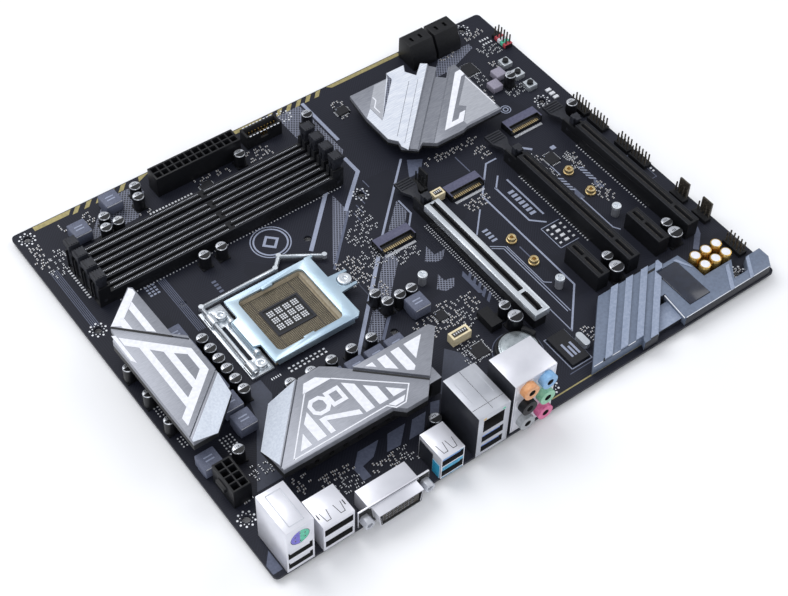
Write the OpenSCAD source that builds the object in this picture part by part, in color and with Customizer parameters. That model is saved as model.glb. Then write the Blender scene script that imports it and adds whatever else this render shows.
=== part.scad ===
// ATX desktop motherboard, built as separate pieces.
// Inside at_board() x runs along the rear edge, y runs to the front edge, and z = 0 is the
// component side of the board. The outer frame's origin is the rear left mounting hole,
// on the underside of the board.

/* [Board] */
// Length of the board along its rear edge
board_w = 304.8; // [304.8:0.1:306]
// Depth of the board from rear edge to front edge
board_d = 243.84; // [243.8:0.1:245]
// Thickness of the laminate
board_t = 1.6; // [1.4:0.1:2]
// Corner radius of the board
board_corner_r = 2.5; // [1:0.5:4]
// Radius of the mounting holes
hole_r = 1.98; // [1.9:0.01:2.1]

/* [Processor socket] */
// Spacing of the four cooler holes, both ways
cooler_pitch = 75; // [75:1:80]
// Side of the square processor package
cpu_side = 37.5; // [37:0.5:38]
// Thickness of the load plate's sheet
plate_t = 1.5; // [1.2:0.1:1.6]
// Radius of the load lever's wire
lever_r = 1.2; // [1:0.1:1.3]
// Thickness of the stiffening plate under the board
backplate_t = 2; // [1.8:0.1:2.2]

/* [Memory] */
// Number of memory slots
memory_count = 4; // [4:1:4]
// Distance from one memory slot to the next
memory_pitch = 8.8; // [8.7:0.1:9]
// Height of a memory slot's body
memory_h = 8; // [7:0.5:8.5]
// Height of a closed memory latch
latch_h = 21; // [19:0.5:22]

/* [Expansion slots] */
// Distance from one expansion position to the next
slot_pitch = 20.32; // [20.32:0.01:20.32]
// Height of an expansion slot's body
slot_h = 11.25; // [11:0.05:11.5]
// Length of a long slot
long_slot_l = 89; // [88:0.5:90]
// Length of a short slot
short_slot_l = 25; // [24:0.5:26]

/* [Cooling] */
// Height of the two voltage regulator heatsinks above the board
vrm_h = 22; // [20:0.5:24]
// Thickness of the cap on each regulator heatsink
vrm_cap_t = 7; // [6:0.5:8]
// Height of the chipset heatsink above the board
chipset_h = 11; // [10:0.5:13]

/* [Rear ports] */
// Height of the keyboard and double port stack
keyboard_stack_h = 31.5; // [30:0.5:32]
// Height of the network and double port stack
network_stack_h = 30; // [29:0.5:31]
// Height of the audio block
audio_h = 36; // [35:0.5:37]

/* [Small parts] */
// Radius of a standard capacitor can
can_r = 3.15; // [3:0.05:3.2]
// Height of a standard capacitor can
can_h = 9; // [8:0.5:10]
// Side of a square power choke
choke_side = 9.8; // [9:0.1:10]
// Height of a power choke
choke_h = 8; // [7:0.5:8.5]

/* [Hidden] */

$fn = 48;
eps = 0.01;
lead_l = backplate_t;
underside = -board_t;

// Mounting holes of the full-size board pattern, from the rear left corner of the board
hole_left = 6.35;
hole_middle = 163.83;
hole_right = 288.29;
hole_rear_left = 33.02;
hole_rear = 10.16;
hole_centre = 165.1;
hole_front = 237.49;
mounting_holes = [
    [hole_left, hole_rear_left], [hole_left, hole_centre], [hole_left, hole_front],
    [hole_middle, hole_rear], [hole_middle, hole_centre], [hole_middle, hole_front],
    [hole_right, hole_rear], [hole_right, hole_centre], [hole_right, hole_front]];

// Processor socket
socket_x = 86;
socket_y = 118;
screw_shaft_r = 1.75;
screw_head_r = 2.9;
nose_head_r = 3.6;
hinge_screw_x = 58.6;
hinge_screw_dy = 18;
nose_screw_x = 120;
socket_screw_points = [
    [hinge_screw_x, socket_y - hinge_screw_dy], [hinge_screw_x, socket_y + hinge_screw_dy],
    [nose_screw_x, socket_y]];
housing_side = 42;
housing_h = 4;
contact_z = 2.6;
contact_t = 0.4;
plate_z = 4.5;
plate_left = 63.5;
plate_right = 114.2;
plate_front_y = 140.6;
plate_rear_y = 95;
window_side = 38.2;
lever_x = 53.4;
lever_z = 3;
lever_arm_y = 145.6;
lever_rear_y = 96;
plate_pivot_x = 60.5;
plate_pivot_z = 3.2;
pivot_pin_r = 1;
running_gap = 0.06;

// Memory slots
memory_first_y = 179.6;
memory_left = 21;
memory_right = 154.3;
memory_half_w = 3.3;
memory_key_x = 92;
tower_l = 6.5;
latch_pivot_out = 3.2;
latch_pivot_z = 3.6;
latch_half_w = 2.2;

// Expansion slots
slot_first_x = 184;
slot_rear_y = 42.1;
slot_half_w = 3.75;
slot_key_y = 15.3;
latch_pivot_y = slot_rear_y + long_slot_l + 5.5;
card_latch_z = 4.2;

// Storage sockets: centre and front face of each, and its standoff
storage_points = [[158.2, 123.6], [210.4, 132.5], [267, 152.9]];
storage_standoff_points = [[153.2, 97.3], [208, 55.8], [264, 76.4]];
storage_spare_points = [[208, 93.6], [208, 75.6], [264, 114], [264, 96]];

// Capacitor cans: x, y, radius, height
cans = concat(
    [for (i = [0:5]) [41.8, 88.8 + 7.35 * i, can_r, can_h]],
    [for (i = [0:4]) [61.5 + 11.7 * i, 78.9, can_r, can_h]],
    [for (y = [93, 111.7, 130]) [3.7, y, 2.8, 10]],
    [for (p = [[43.3, 221.8], [40.3, 214.6], [47.7, 215], [66.9, 231.2], [64.5, 223.8],
               [124.1, 219.9], [170.4, 224.3], [71, 170], [81, 170], [21.1, 61.7],
               [104.4, 23.3], [128, 92.7], [135.6, 92.7], [142.8, 92.7], [126, 100.1],
               [173.4, 57.3], [236.2, 52.4], [276.4, 51.9], [280.8, 184.9], [294.4, 148]])
        [p[0], p[1], can_r, can_h]],
    [for (p = [[173.4, 48.9], [235.2, 44.3], [275.3, 44.3]]) [p[0], p[1], 4, can_h]]);
audio_can_r = 3.1;
audio_can_h = 8;
audio_can_pitch = 7.2;
audio_can_x = 273.1;
audio_can_y = 19.7;

// Power chokes: lower left corner of each
choke_points = concat(
    [for (i = [0:5]) [27.8, 70.1 + 12.1 * i]],
    [for (i = [0:4]) [65.1 + 11.65 * i, 64.4]],
    [[24.3, 217.6], [47.4, 226.7], [2.9, 60.6], [135.4, 79.5]]);
small_choke_side = 6.8;
small_choke_h = 4;
small_choke_points = [[269.2, 184.4], [277, 190.9]];

// Chips: centre x, centre y, width, depth, height
chip_list = [
    [229, 195, 23, 24, 1.5], [14, 96, 5, 6, 1], [14, 112, 5, 6, 1], [14, 128, 5, 6, 1],
    [60, 48, 6, 5, 1], [76, 48, 6, 5, 1], [92, 48, 6, 5, 1], [108, 50, 6, 5, 1],
    [186, 23, 11, 20, 1.6], [150, 47, 8, 8, 1], [263, 127, 7, 8, 1], [148, 75, 6, 6, 1],
    [192, 222, 7, 6, 1.2], [101, 217, 7, 5, 1.2], [270, 208, 9, 9, 1.2]];

switch_side = 6;
switch_base_h = 3.5;
switch_cap_r = 1.7;
switch_cap_h = 1.4;
switch_points = [[289.5, 199.4], [289.5, 188.4], [289.5, 177.4]];

cell_x = 165;
cell_y = 35.5;
cell_r = 10;

jack_x = [138.2, 148.9];
jack_z = [7, 18.8, 30.6];
jack_r = 4.3;

module at_board() {
    translate([-hole_left, -hole_rear_left, board_t]) children();
}

// A box from its lowest corner to its highest corner
module block(low, high) {
    translate(low) cube(high - low);
}

// A level wire from one point to another, with an upright round boss at its far end
module wire(a, b, r) {
    d = b - a;
    translate(a) rotate([0, 90, atan2(d[1], d[0])]) cylinder(h = norm(d), r = r);
    translate(b - [0, 0, r + 0.1]) cylinder(h = 2 * r + 0.2, r = r + 0.15);
}

// Leads and pegs that stand out of the board's underside
module leads(points, side = 1) {
    for (p = points)
        translate([p[0] - side / 2, p[1] - side / 2, underside - lead_l]) cube([side, side, lead_l]);
}

module board() {
    color("#20242e") at_board() difference() {
        translate([board_corner_r, board_corner_r, underside]) linear_extrude(board_t) union() {
            inner_w = board_w - 2 * board_corner_r;
            inner_d = board_d - 2 * board_corner_r;
            translate([-board_corner_r, 0]) square([board_w, inner_d]);
            translate([0, -board_corner_r]) square([inner_w, board_d]);
            for (x = [0, inner_w], y = [0, inner_d]) translate([x, y]) circle(r = board_corner_r);
        }
        for (p = mounting_holes) board_hole(p, hole_r);
        for (sx = [-1, 1], sy = [-1, 1])
            board_hole([socket_x + sx * cooler_pitch / 2, socket_y + sy * cooler_pitch / 2], 2);
        for (p = socket_screw_points) board_hole(p, screw_shaft_r + 0.2);
    }
}

module board_hole(p, r) {
    translate([p[0], p[1], underside - eps]) cylinder(h = board_t + 2 * eps, r = r);
}

module socket_backplate() {
    color("#7d7f83") at_board() difference() {
        translate([0, 0, underside - backplate_t]) linear_extrude(backplate_t)
            polygon([[51, 92], [108, 92], [126, 110], [126, 126], [108, 144], [51, 144]]);
        translate([72, 104, underside - backplate_t - eps]) cube([28, 28, backplate_t + 2 * eps]);
        for (p = socket_screw_points)
            translate([p[0], p[1], underside - backplate_t - eps])
                cylinder(h = backplate_t + 2 * eps, r = screw_shaft_r + 0.08);
    }
}

module socket_housing() {
    color("#c3b49a") at_board() translate([socket_x, socket_y, 0]) difference() {
        block([-housing_side / 2, -housing_side / 2, 0], [housing_side / 2, housing_side / 2, housing_h]);
        block([-cpu_side / 2, -cpu_side / 2, contact_z - contact_t],
              [cpu_side / 2, cpu_side / 2, housing_h + eps]);
        for (s = [-1, 1])
            translate([-5, s * housing_side / 2 - 2, contact_z]) cube([10, 4, housing_h]);
    }
}

module socket_contacts() {
    field = cpu_side / 2 - 1;
    color("#b59a66") at_board() translate([socket_x, socket_y, contact_z - contact_t]) difference() {
        block([-field, -field, 0], [field, field, contact_t]);
        block([-9.8, -7.8, -eps], [9.8, 7.8, contact_t + eps]);
    }
}

module socket_hinge_frame() {
    strap_h = 1.4;
    color("#cfd3d6") at_board() difference() {
        union() {
            block([50.5, 95.5, 0], [63.2, 144, strap_h]);
            for (y = [97, 132.4]) {
                block([50.8, y, 0], [55.6, y + 6.6, lever_z]);
                translate([lever_x, y, lever_z]) rotate([-90, 0, 0]) cylinder(h = 6.6, r = 2.2);
            }
            for (y = [105.4, 128.6]) {
                block([plate_pivot_x - 1.9, y, 0], [plate_pivot_x + 1.9, y + 2, plate_pivot_z]);
                translate([plate_pivot_x, y, plate_pivot_z]) rotate([-90, 0, 0]) cylinder(h = 2, r = 1.9);
            }
        }
        block([54.6, 105.6, -eps], [57.4, 130.4, strap_h + eps]);
        translate([lever_x, 90, lever_z]) rotate([-90, 0, 0]) cylinder(h = 60, r = lever_r + running_gap);
        translate([plate_pivot_x, 100, plate_pivot_z]) rotate([-90, 0, 0])
            cylinder(h = 36, r = pivot_pin_r + running_gap);
        for (s = [-1, 1])
            translate([hinge_screw_x, socket_y + s * hinge_screw_dy, -eps])
                cylinder(h = strap_h + 2 * eps, r = screw_shaft_r + 0.1);
    }
}

module socket_load_plate() {
    tail_low = 107.8;
    tail_high = 128.2;
    fork = nose_head_r + 0.4;
    color("#c9dbe6") at_board() union() {
        difference() {
            translate([0, 0, plate_z]) linear_extrude(plate_t) union() {
                polygon([[plate_left, plate_rear_y], [plate_right - 2, plate_rear_y],
                         [plate_right, plate_rear_y + 2], [plate_right, socket_y - 6],
                         [124.2, socket_y - 5.4], [124.2, socket_y + 5.4],
                         [plate_right, socket_y + 6], [plate_right, plate_front_y - 1],
                         [115.6, plate_front_y - 1], [115.6, plate_front_y + 0.6],
                         [plate_right - 3, plate_front_y + 0.6], [plate_right - 3, plate_front_y],
                         [plate_left, plate_front_y], [plate_left, tail_high], [59.8, tail_high - 1],
                         [59.8, tail_low + 1], [plate_left, tail_low]]);
            }
            translate([socket_x + 1.6, socket_y, plate_z - eps]) linear_extrude(plate_t + 2 * eps)
                window_outline();
            translate([nose_screw_x, socket_y, plate_z - eps]) {
                cylinder(h = plate_t + 2 * eps, r = fork);
                translate([0, -fork, 0]) cube([10, 2 * fork, plate_t + 2 * eps]);
            }
        }
        for (y = [plate_rear_y, plate_front_y - 1.2])
            block([plate_left + 2, y, plate_z - 2.6], [plate_right - 4, y + 1.2, plate_z + eps]);
        block([plate_pivot_x - 0.7, tail_low + 1, plate_pivot_z], [plate_pivot_x + 0.7, tail_high - 1, plate_z + eps]);
        translate([plate_pivot_x, tail_low, plate_pivot_z]) rotate([-90, 0, 0])
            cylinder(h = tail_high - tail_low, r = 1.4);
        translate([plate_pivot_x, 105.6, plate_pivot_z]) rotate([-90, 0, 0])
            cylinder(h = 24.8, r = pivot_pin_r);
    }
}

// Rounded window with a tab at its front and rear edge
module window_outline() {
    half = window_side / 2;
    r = 3;
    difference() {
        union() {
            square([window_side, window_side - 2 * r], center = true);
            square([window_side - 2 * r, window_side], center = true);
            for (sx = [-1, 1], sy = [-1, 1]) translate([sx * (half - r), sy * (half - r)]) circle(r = r);
        }
        for (s = [-1, 1]) translate([-4.5, s * half - 1]) square([6, 2]);
    }
}

module socket_load_lever() {
    color("#d9dde0") at_board() {
        points = [[lever_x, lever_rear_y, lever_z], [lever_x, lever_arm_y, lever_z],
                  [97, lever_arm_y, lever_z], [103, 151.6, lever_z], [122.4, 138.9, lever_z]];
        for (i = [0:len(points) - 2]) wire(points[i], points[i + 1], lever_r);
    }
}

module socket_screws() {
    color("#e3e6e8") at_board() {
        for (i = [0:2]) {
            p = socket_screw_points[i];
            is_nose = i == 2;
            head_z = is_nose ? 4.4 : 1.4;
            head_r = is_nose ? nose_head_r : screw_head_r;
            translate([p[0], p[1], underside - backplate_t + 0.2])
                cylinder(h = board_t + backplate_t + head_z, r = screw_shaft_r);
            translate([p[0], p[1], head_z]) difference() {
                cylinder(h = 2.7, r = head_r);
                translate([0, 0, 1.6]) cylinder(h = 2, r = 1.5, $fn = 6);
            }
        }
    }
}

function memory_y(i) = memory_first_y + memory_pitch * (i - 1);

module memory_slot(i) {
    groove = 1.5;
    groove_z = 2.4;
    color("#17181c") at_board() translate([0, memory_y(i), 0]) {
        difference() {
            union() {
                block([memory_left, -memory_half_w, 0], [memory_right, memory_half_w, memory_h]);
                for (side = [0, 1]) mirror_end(side) tower();
            }
            block([memory_left - 3, -groove / 2, groove_z],
                  [memory_key_x - 0.8, groove / 2, memory_h + eps]);
            block([memory_key_x + 0.8, -groove / 2, groove_z],
                  [memory_right + 3, groove / 2, memory_h + eps]);
            for (s = [-1, 1]) for (x0 = [memory_left + 3, memory_key_x + 3])
                translate([x0, s * 2.15 - 0.4, memory_h - 1]) cube([57, 0.8, 2]);
        }
        leads([[memory_left + 2, 0], [memory_key_x, 0], [memory_right - 2, 0]]);
    }
}

// Draws the left end as it is, and the right end as its mirror image
module mirror_end(side) {
    middle = (memory_left + memory_right) / 2;
    if (side == 0) translate([memory_left, 0, 0]) mirror([1, 0, 0]) children();
    else translate([memory_right, 0, 0]) children();
}

// Tower at the end of a memory slot, with x outward from the slot's end
module tower() {
    cheek_h = 13;
    difference() {
        block([-eps, -memory_half_w, 0], [tower_l, memory_half_w, cheek_h]);
        block([0.3, -latch_half_w - 0.25, 0.6], [tower_l + eps, latch_half_w + 0.25, cheek_h + eps]);
        translate([latch_pivot_out, 0, latch_pivot_z]) rotate([90, 0, 0])
            cylinder(h = 8, r = 0.9 + running_gap, center = true);
        translate([-1, -0.75, memory_h]) cube([2, 1.5, cheek_h]);
    }
}

module memory_latch(i, side) {
    head_z = 16.5;
    color("#202228") at_board() translate([0, memory_y(i), 0]) mirror_end(side) union() {
        translate([latch_pivot_out, 0, latch_pivot_z]) rotate([90, 0, 0]) {
            cylinder(h = 2 * latch_half_w, r = 2.5, center = true);
            cylinder(h = 2 * memory_half_w - 0.1, r = 0.9, center = true);
        }
        difference() {
            block([0.8, -latch_half_w, latch_pivot_z], [5.6, latch_half_w, latch_h]);
            translate([0.8 - eps, -0.75, head_z - 5]) cube([1.6, 1.5, 5]);
        }
        difference() {
            translate([0, memory_half_w - 0.3, 0]) rotate([90, 0, 0]) linear_extrude(2 * memory_half_w - 0.6)
                polygon([[0.8, head_z + 1], [5.6, head_z - 1.5], [6.8, head_z + 1], [6.8, latch_h],
                         [0.8, latch_h]]);
            for (k = [0:3]) translate([1.8 + 1.3 * k, -5, latch_h - 0.5]) cube([0.6, 10, 1]);
        }
    }
}

// Gold contact strips on both walls of every slot's groove
module slot_contacts() {
    strip_t = 0.2;
    color("#c9a14a") at_board() {
        for (i = [1:memory_count], s = [-1, 1]) {
            y = memory_y(i) + s * 0.65 - strip_t / 2;
            block([memory_left + 1, y, 3], [memory_key_x - 2, y + strip_t, 6.5]);
            block([memory_key_x + 2, y, 3], [memory_right - 1, y + strip_t, 6.5]);
        }
        for (k = [0, 3, 5]) contact_pair(k, long_slot_l);
        for (k = [2, 4]) contact_pair(k, short_slot_l);
    }
}

module contact_pair(k, length) {
    strip_t = 0.2;
    for (s = [-1, 1]) {
        x = slot_first_x + slot_pitch * k + s * 0.8 - strip_t / 2;
        block([x, slot_rear_y + 2, 3.5], [x + strip_t, slot_rear_y + slot_key_y - 2, 8]);
        block([x, slot_rear_y + slot_key_y + 2, 3.5], [x + strip_t, slot_rear_y + length - 2, 8]);
    }
}

// Expansion slot body with its key rib; a long one has cheeks for a card latch
module card_slot(k, length, has_latch) {
    groove = 1.8;
    groove_z = 2.8;
    end_y = slot_rear_y + length;
    translate([slot_first_x + slot_pitch * k, 0, 0]) {
        difference() {
            union() {
                block([-slot_half_w, slot_rear_y, 0], [slot_half_w, end_y, slot_h]);
                if (has_latch) block([-slot_half_w, end_y - eps, 0], [slot_half_w, end_y + 10, 8.5]);
            }
            block([-groove / 2, slot_rear_y + 1.2, groove_z],
                  [groove / 2, slot_rear_y + slot_key_y - 0.9, slot_h + eps]);
            block([-groove / 2, slot_rear_y + slot_key_y + 0.9, groove_z],
                  [groove / 2, end_y - 1.2, slot_h + eps]);
            if (has_latch) {
                block([-2.5, end_y + 0.8, 0.8], [2.5, end_y + 11, slot_h]);
                translate([0, latch_pivot_y, card_latch_z]) rotate([0, 90, 0])
                    cylinder(h = 9, r = 0.9 + running_gap, center = true);
            }
        }
        leads([[0, slot_rear_y + 3], [0, end_y - 3]], 1.6);
    }
}

module armoured_slot() {
    color("#141519") at_board() card_slot(0, long_slot_l, true);
}

// Steel frame pressed over the first long slot
module slot_armour() {
    rim = 0.9;
    frame_z = 7.4;
    top = slot_h + 0.5;
    color("#e6e8ea") at_board() translate([slot_first_x, slot_rear_y, 0]) difference() {
        block([-slot_half_w - rim, -rim, frame_z], [slot_half_w + rim, long_slot_l - 0.2, top]);
        block([-slot_half_w, 0, frame_z - eps], [slot_half_w, long_slot_l + eps, slot_h]);
        block([-1.7, 1.2, slot_h - eps], [1.7, slot_key_y - 0.9, top + eps]);
        block([-1.7, slot_key_y + 0.9, slot_h - eps], [1.7, long_slot_l - 1.6, top + eps]);
    }
}

module long_slots() {
    color("#141519") at_board() for (k = [3, 5]) card_slot(k, long_slot_l, true);
}

module short_slots() {
    color("#141519") at_board() for (k = [2, 4]) card_slot(k, short_slot_l, false);
}

// Spring latch at a long slot's end: a hook over the card and a fan-shaped pad to press
module card_latch(k) {
    color("#26282e") at_board() translate([slot_first_x + slot_pitch * k, latch_pivot_y, card_latch_z]) union() {
        rotate([0, 90, 0]) cylinder(h = 4.6, r = 2.4, center = true);
        rotate([0, 90, 0]) cylinder(h = 7.4, r = 0.9, center = true);
        block([-2.3, -2.4, 0], [2.3, 0.6, 9]);
        block([-1.6, -4.4, 7.4], [1.6, -2.4 + eps, 9]);
        translate([0, 0, 0]) linear_extrude(1.8)
            polygon([[-2.3, 0], [2.3, 0], [2.3, 8], [5, 13], [5, 20], [-5, 20], [-5, 13], [-2.3, 8]]);
        for (j = [0:3]) translate([-4.4, 13.4 + 1.7 * j, 1.8 - eps]) cube([8.8, 0.8, 0.6]);
    }
}

// Edge-card sockets for the storage sticks, open towards the rear edge
module storage_sockets() {
    w = 22;
    d = 8.8;
    h = 4.2;
    color("#2b2c38") at_board() for (p = storage_points) translate([p[0] - w / 2, p[1], 0]) {
        difference() {
            cube([w, d, h]);
            translate([1, -eps, 1.6]) cube([w - 2, 6, 1.2]);
            translate([1, -eps, 2.6]) cube([w - 2, 3.4, h]);
        }
    }
}

module storage_standoffs() {
    color("#c9b083") at_board() {
        for (p = storage_standoff_points) translate([p[0], p[1], 0]) {
            cylinder(h = 5.5, r = 2.1);
            translate([0, 0, 5.5]) difference() {
                cylinder(h = 1.8, r = 2.5);
                translate([-0.4, -1.6, 1]) cube([0.8, 3.2, 1]);
                translate([-1.6, -0.4, 1]) cube([3.2, 0.8, 1]);
            }
        }
        for (p = storage_spare_points) translate([p[0], p[1], 0]) difference() {
            union() {
                cylinder(h = 1.2, r = 2.9);
                cylinder(h = 3.2, r = 2.3);
            }
            translate([0, 0, 0.8]) cylinder(h = 3, r = 1.05);
        }
    }
}

// Outline of the side regulator heatsink's cap, seen from above
side_cap = [[5.2, 146.2], [4.6, 141.5], [2, 138.5], [2.3, 125], [2.6, 68.5], [15.4, 68.5],
            [32.2, 83.6], [32.2, 121.4], [26.6, 126.6], [26.2, 161.6], [24.4, 163]];
// Outline of the rear regulator heatsink's cap
rear_cap = [[27, 32.4], [86.6, 31.9], [91, 27.6], [103, 27.6], [130.4, 58.2], [128.4, 61.2],
            [84.4, 61.2], [72, 70.5], [61.5, 70.5], [43.5, 70.4], [26, 50]];

module side_heatsink() {
    cap_z = vrm_h - vrm_cap_t;
    color("#a9abb2") at_board() difference() {
        union() {
            translate([0, 0, cap_z]) linear_extrude(vrm_cap_t) polygon(side_cap);
            block([8.5, 84, 3], [24.5, 138, cap_z + eps]);
        }
        // groove between the front triangle and the main body, and one near the rear bevel
        translate([5.2, 146.2, vrm_h - 1.6]) rotate([0, 0, -45.5]) translate([-6, -0.55, 0]) cube([44, 1.1, 3]);
        translate([3, 71.7, vrm_h - 1]) rotate([0, 0, 40.5]) translate([-6, -0.3, 0]) cube([52, 0.6, 3]);
        // rear bevel that falls away towards the rear edge
        translate([5.4, 71.9, vrm_h]) rotate([0, 0, 40.5]) rotate([24, 0, 0])
            translate([-30, -40, 0]) cube([90, 40, 20]);
        // airflow slots through the foot
        for (k = [0:7]) block([8, 88 + 6 * k, 5], [25, 90 + 6 * k, cap_z - 2]);
    }
}

module rear_heatsink() {
    cap_z = vrm_h - vrm_cap_t;
    color("#a6a8ae") at_board() difference() {
        union() {
            translate([0, 0, cap_z]) linear_extrude(vrm_cap_t) polygon(rear_cap);
            block([42, 36.5, 3], [118, 56.5, cap_z + eps]);
        }
        // groove between the main panel and the right wing
        translate([83.2, 61.6, vrm_h - 1.6]) rotate([0, 0, -43.5]) translate([-6, -0.65, 0]) cube([48, 1.3, 3]);
        // groove and bevel along the left side
        translate([28.7, 36.5, vrm_h - 1]) rotate([0, 0, 47.5]) translate([-8, -0.3, 0]) cube([60, 0.6, 3]);
        translate([28, 37.2, vrm_h]) rotate([0, 0, 47.5]) rotate([-30, 0, 0])
            translate([-30, 0, 0]) cube([100, 40, 20]);
        for (k = [0:8]) block([46 + 8 * k, 36, 5], [48.4 + 8 * k, 57, cap_z - 2]);
    }
}

// Outline of the chipset heatsink
chipset_cap = [[196, 220], [193.3, 200.8], [193.3, 181], [196.8, 176.6], [195.8, 172.4], [202.6, 166.2],
               [207, 168.6], [213, 163.6], [231, 163.6], [234, 164.6], [257.8, 164.6], [258.6, 199],
               [258.8, 207.6], [254.4, 207.8], [248.2, 201.4], [243.8, 205.8], [249.6, 212.2],
               [243.6, 219.4], [235.8, 212.8], [232.6, 218.6], [235.4, 223.4], [223, 223.6],
               [222, 220]];

module chipset_heatsink() {
    band_angle = 44;
    color("#b9bbc0") at_board() difference() {
        union() {
            translate([0, 0, chipset_h - 4]) linear_extrude(4) polygon(chipset_cap);
            block([205, 172, 3], [241, 204, chipset_h - 4 + eps]);
        }
        // step between the polished half and the brushed half, and two shallow lines
        translate([200, 170.6, chipset_h]) rotate([0, 0, band_angle]) {
            translate([-10, -4.6, -0.9]) cube([90, 4.6, 3]);
            translate([-10, -5.4, -1.4]) cube([90, 0.8, 3]);
            translate([-10, 10.6, -0.3]) cube([90, 0.5, 2]);
            translate([-10, -12.5, -0.3]) cube([90, 0.5, 2]);
        }
    }
}

module thermal_pads() {
    color("#8f949a") at_board() {
        for (y = [96, 112, 128]) block([11.5, y - 3, 1], [16.5, y + 3, 3]);
        for (x = [60, 76, 92]) block([x - 3, 45.5, 1], [x + 3, 50.5, 3]);
        block([105, 47.5, 1], [111, 52.5, 3]);
        block([219, 184.5, 1.5], [239, 205.5, 3]);
    }
}

// Heads of the screws that hold the heatsinks and the shroud from below
module heatsink_screws() {
    color("#3b3d42") at_board()
        for (p = [[12, 86.5], [20, 135], [46, 52], [113, 41], [208, 175], [247, 210], [205, 12], [262, 12]])
            translate([p[0], p[1], underside - 1.6]) cylinder(h = 1.6, r = 2.6);
}

// Outline of the audio shroud: a slanted left edge, a notch, and bays for a screw and the audio cans
shroud = [[184.6, 4], [217, 4], [215.5, 0.6], [224.3, 0.6], [241, 18], [244.4, 18], [242.4, 0.4],
          [300.6, 0.4], [304.6, 6], [304.6, 12.6], [294.8, 12.4], [289.4, 5.4], [280, 5.4],
          [287.5, 15.4], [268.6, 15.4], [268.6, 24], [267, 33.2], [256, 33.2], [256, 36.2],
          [216.2, 36.2]];
// Hollow under the shroud's skin
shroud_hollow = [[188.6, 5.8], [218.4, 5.8], [217.8, 2.4], [223.6, 2.4], [240.2, 19.8],
                 [246.2, 19.8], [244.4, 2.2], [299.6, 2.2], [302.8, 6.6], [302.8, 10.8],
                 [295.6, 10.8], [290.2, 3.8], [276.8, 3.8], [284, 13.6], [266.8, 13.6],
                 [266.8, 23.8], [265.4, 31.4], [254.2, 31.4], [254.2, 34.4], [217, 34.4]];

module audio_shroud() {
    shroud_h = 6;
    rib_h = 1.2;
    color("#6f7b91") at_board() difference() {
        union() {
            difference() {
                linear_extrude(shroud_h) polygon(shroud);
                translate([0, 0, -eps]) linear_extrude(shroud_h - 1.4) polygon(shroud_hollow);
            }
            intersection() {
                linear_extrude(shroud_h + rib_h) polygon(shroud);
                for (k = [0:3]) translate([192 + 10 * k, 2, shroud_h - eps]) rotate([0, 0, 45])
                    translate([-4, -2.2, 0]) cube([60, 3.4, rib_h]);
            }
            for (p = [[205, 12], [262, 12]]) translate([p[0], p[1], 0]) cylinder(h = shroud_h - 1, r = 2.4);
            linear_extrude(2.8) polygon([[227, 3.4], [243, 3.4], [244, 15.6], [239.2, 15.6]]);
        }
        translate([249.8, 5.6, shroud_h - 0.6]) cube([14, 25.4, 2]);
    }
}

module shroud_badge() {
    color("#1c2130") at_board() translate([250, 5.8, 5.4]) cube([13.6, 25, 0.9]);
}

// Sheet-metal shell around ports that open towards the rear: ports lists x, z, width, height
module port_shell(low, high, ports, deep = 9) {
    difference() {
        block(low, high);
        for (p = ports) translate([p[0] - p[2] / 2, low[1] - eps, p[1] - p[3] / 2]) cube([p[2], deep, p[3]]);
    }
    leads([for (x = [low[0] + 1, high[0] - 1], y = [6, high[1] - 2]) [x, y]]);
}

keyboard_ports = [[13.2, 4.6, 12.6, 5.2], [13.2, 12.4, 12.6, 5.2]];
display_ports = [[33.3, 4.4, 14.4, 4.8], [33.3, 13.6, 15, 5]];
usb_ports = [[96, 4, 12.2, 5.2], [96, 12, 12.2, 5.2]];
network_ports = [[118.8, 4.6, 12.6, 5.2], [118.8, 12.2, 12.6, 5.2], [118.8, 21.9, 12, 9]];

module keyboard_port_shell() {
    color("#d5d7dc") at_board() difference() {
        port_shell([6, -0.5, 0.1], [20.4, 23, keyboard_stack_h], keyboard_ports);
        translate([13.2, -1, 23.4]) rotate([-90, 0, 0]) cylinder(h = 7, r = 4.9);
    }
}

module display_port_shell() {
    color("#dddfe3") at_board() port_shell([25, -0.8, 0.1], [41.6, 16.2, 18.6], display_ports);
}

module monitor_port() {
    color("#d9dade") at_board() {
        difference() {
            union() {
                block([49.8, 0.9, 0.1], [77.4, 11.2, 11]);
                block([44, 0, 0.1], [83.2, 1, 12]);
                translate([63.6, 0.2, 6.2]) rotate([90, 0, 0]) linear_extrude(6)
                    polygon([[-12.4, 4.2], [12.4, 4.2], [11.2, -4.2], [-11.2, -4.2]]);
            }
            translate([63.6, -3.2, 6.2]) rotate([90, 0, 0]) linear_extrude(6)
                polygon([[-11.6, 3.4], [11.6, 3.4], [10.4, -3.4], [-10.4, -3.4]]);
        }
        leads([[46, 3], [81, 3], [52, 9], [75, 9]]);
    }
}

module monitor_port_nuts() {
    color("#cfc9b8") at_board() for (s = [-1, 1])
        translate([63.6 + s * 33.3 / 2, 0, 6.2]) rotate([90, 0, 0]) difference() {
            cylinder(h = 5, r = 2.9, $fn = 6);
            translate([0, 0, 1]) cylinder(h = 5, r = 1.4);
        }
}

module usb_port_shell() {
    color("#cfd2d8") at_board() port_shell([89.4, -0.8, 0.1], [102.6, 16, 16], usb_ports);
}

module network_port_shell() {
    color("#b9bcc3") at_board() port_shell([109.6, -0.8, 0.1], [128, 26, network_stack_h], network_ports, 13);
}

// Tongue from just inside a port's mouth to its back wall
module tongue(p, half, low, high, back) {
    block([p[0] - half, 1, p[1] + low], [p[0] + half, back, p[1] + high]);
}

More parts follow.
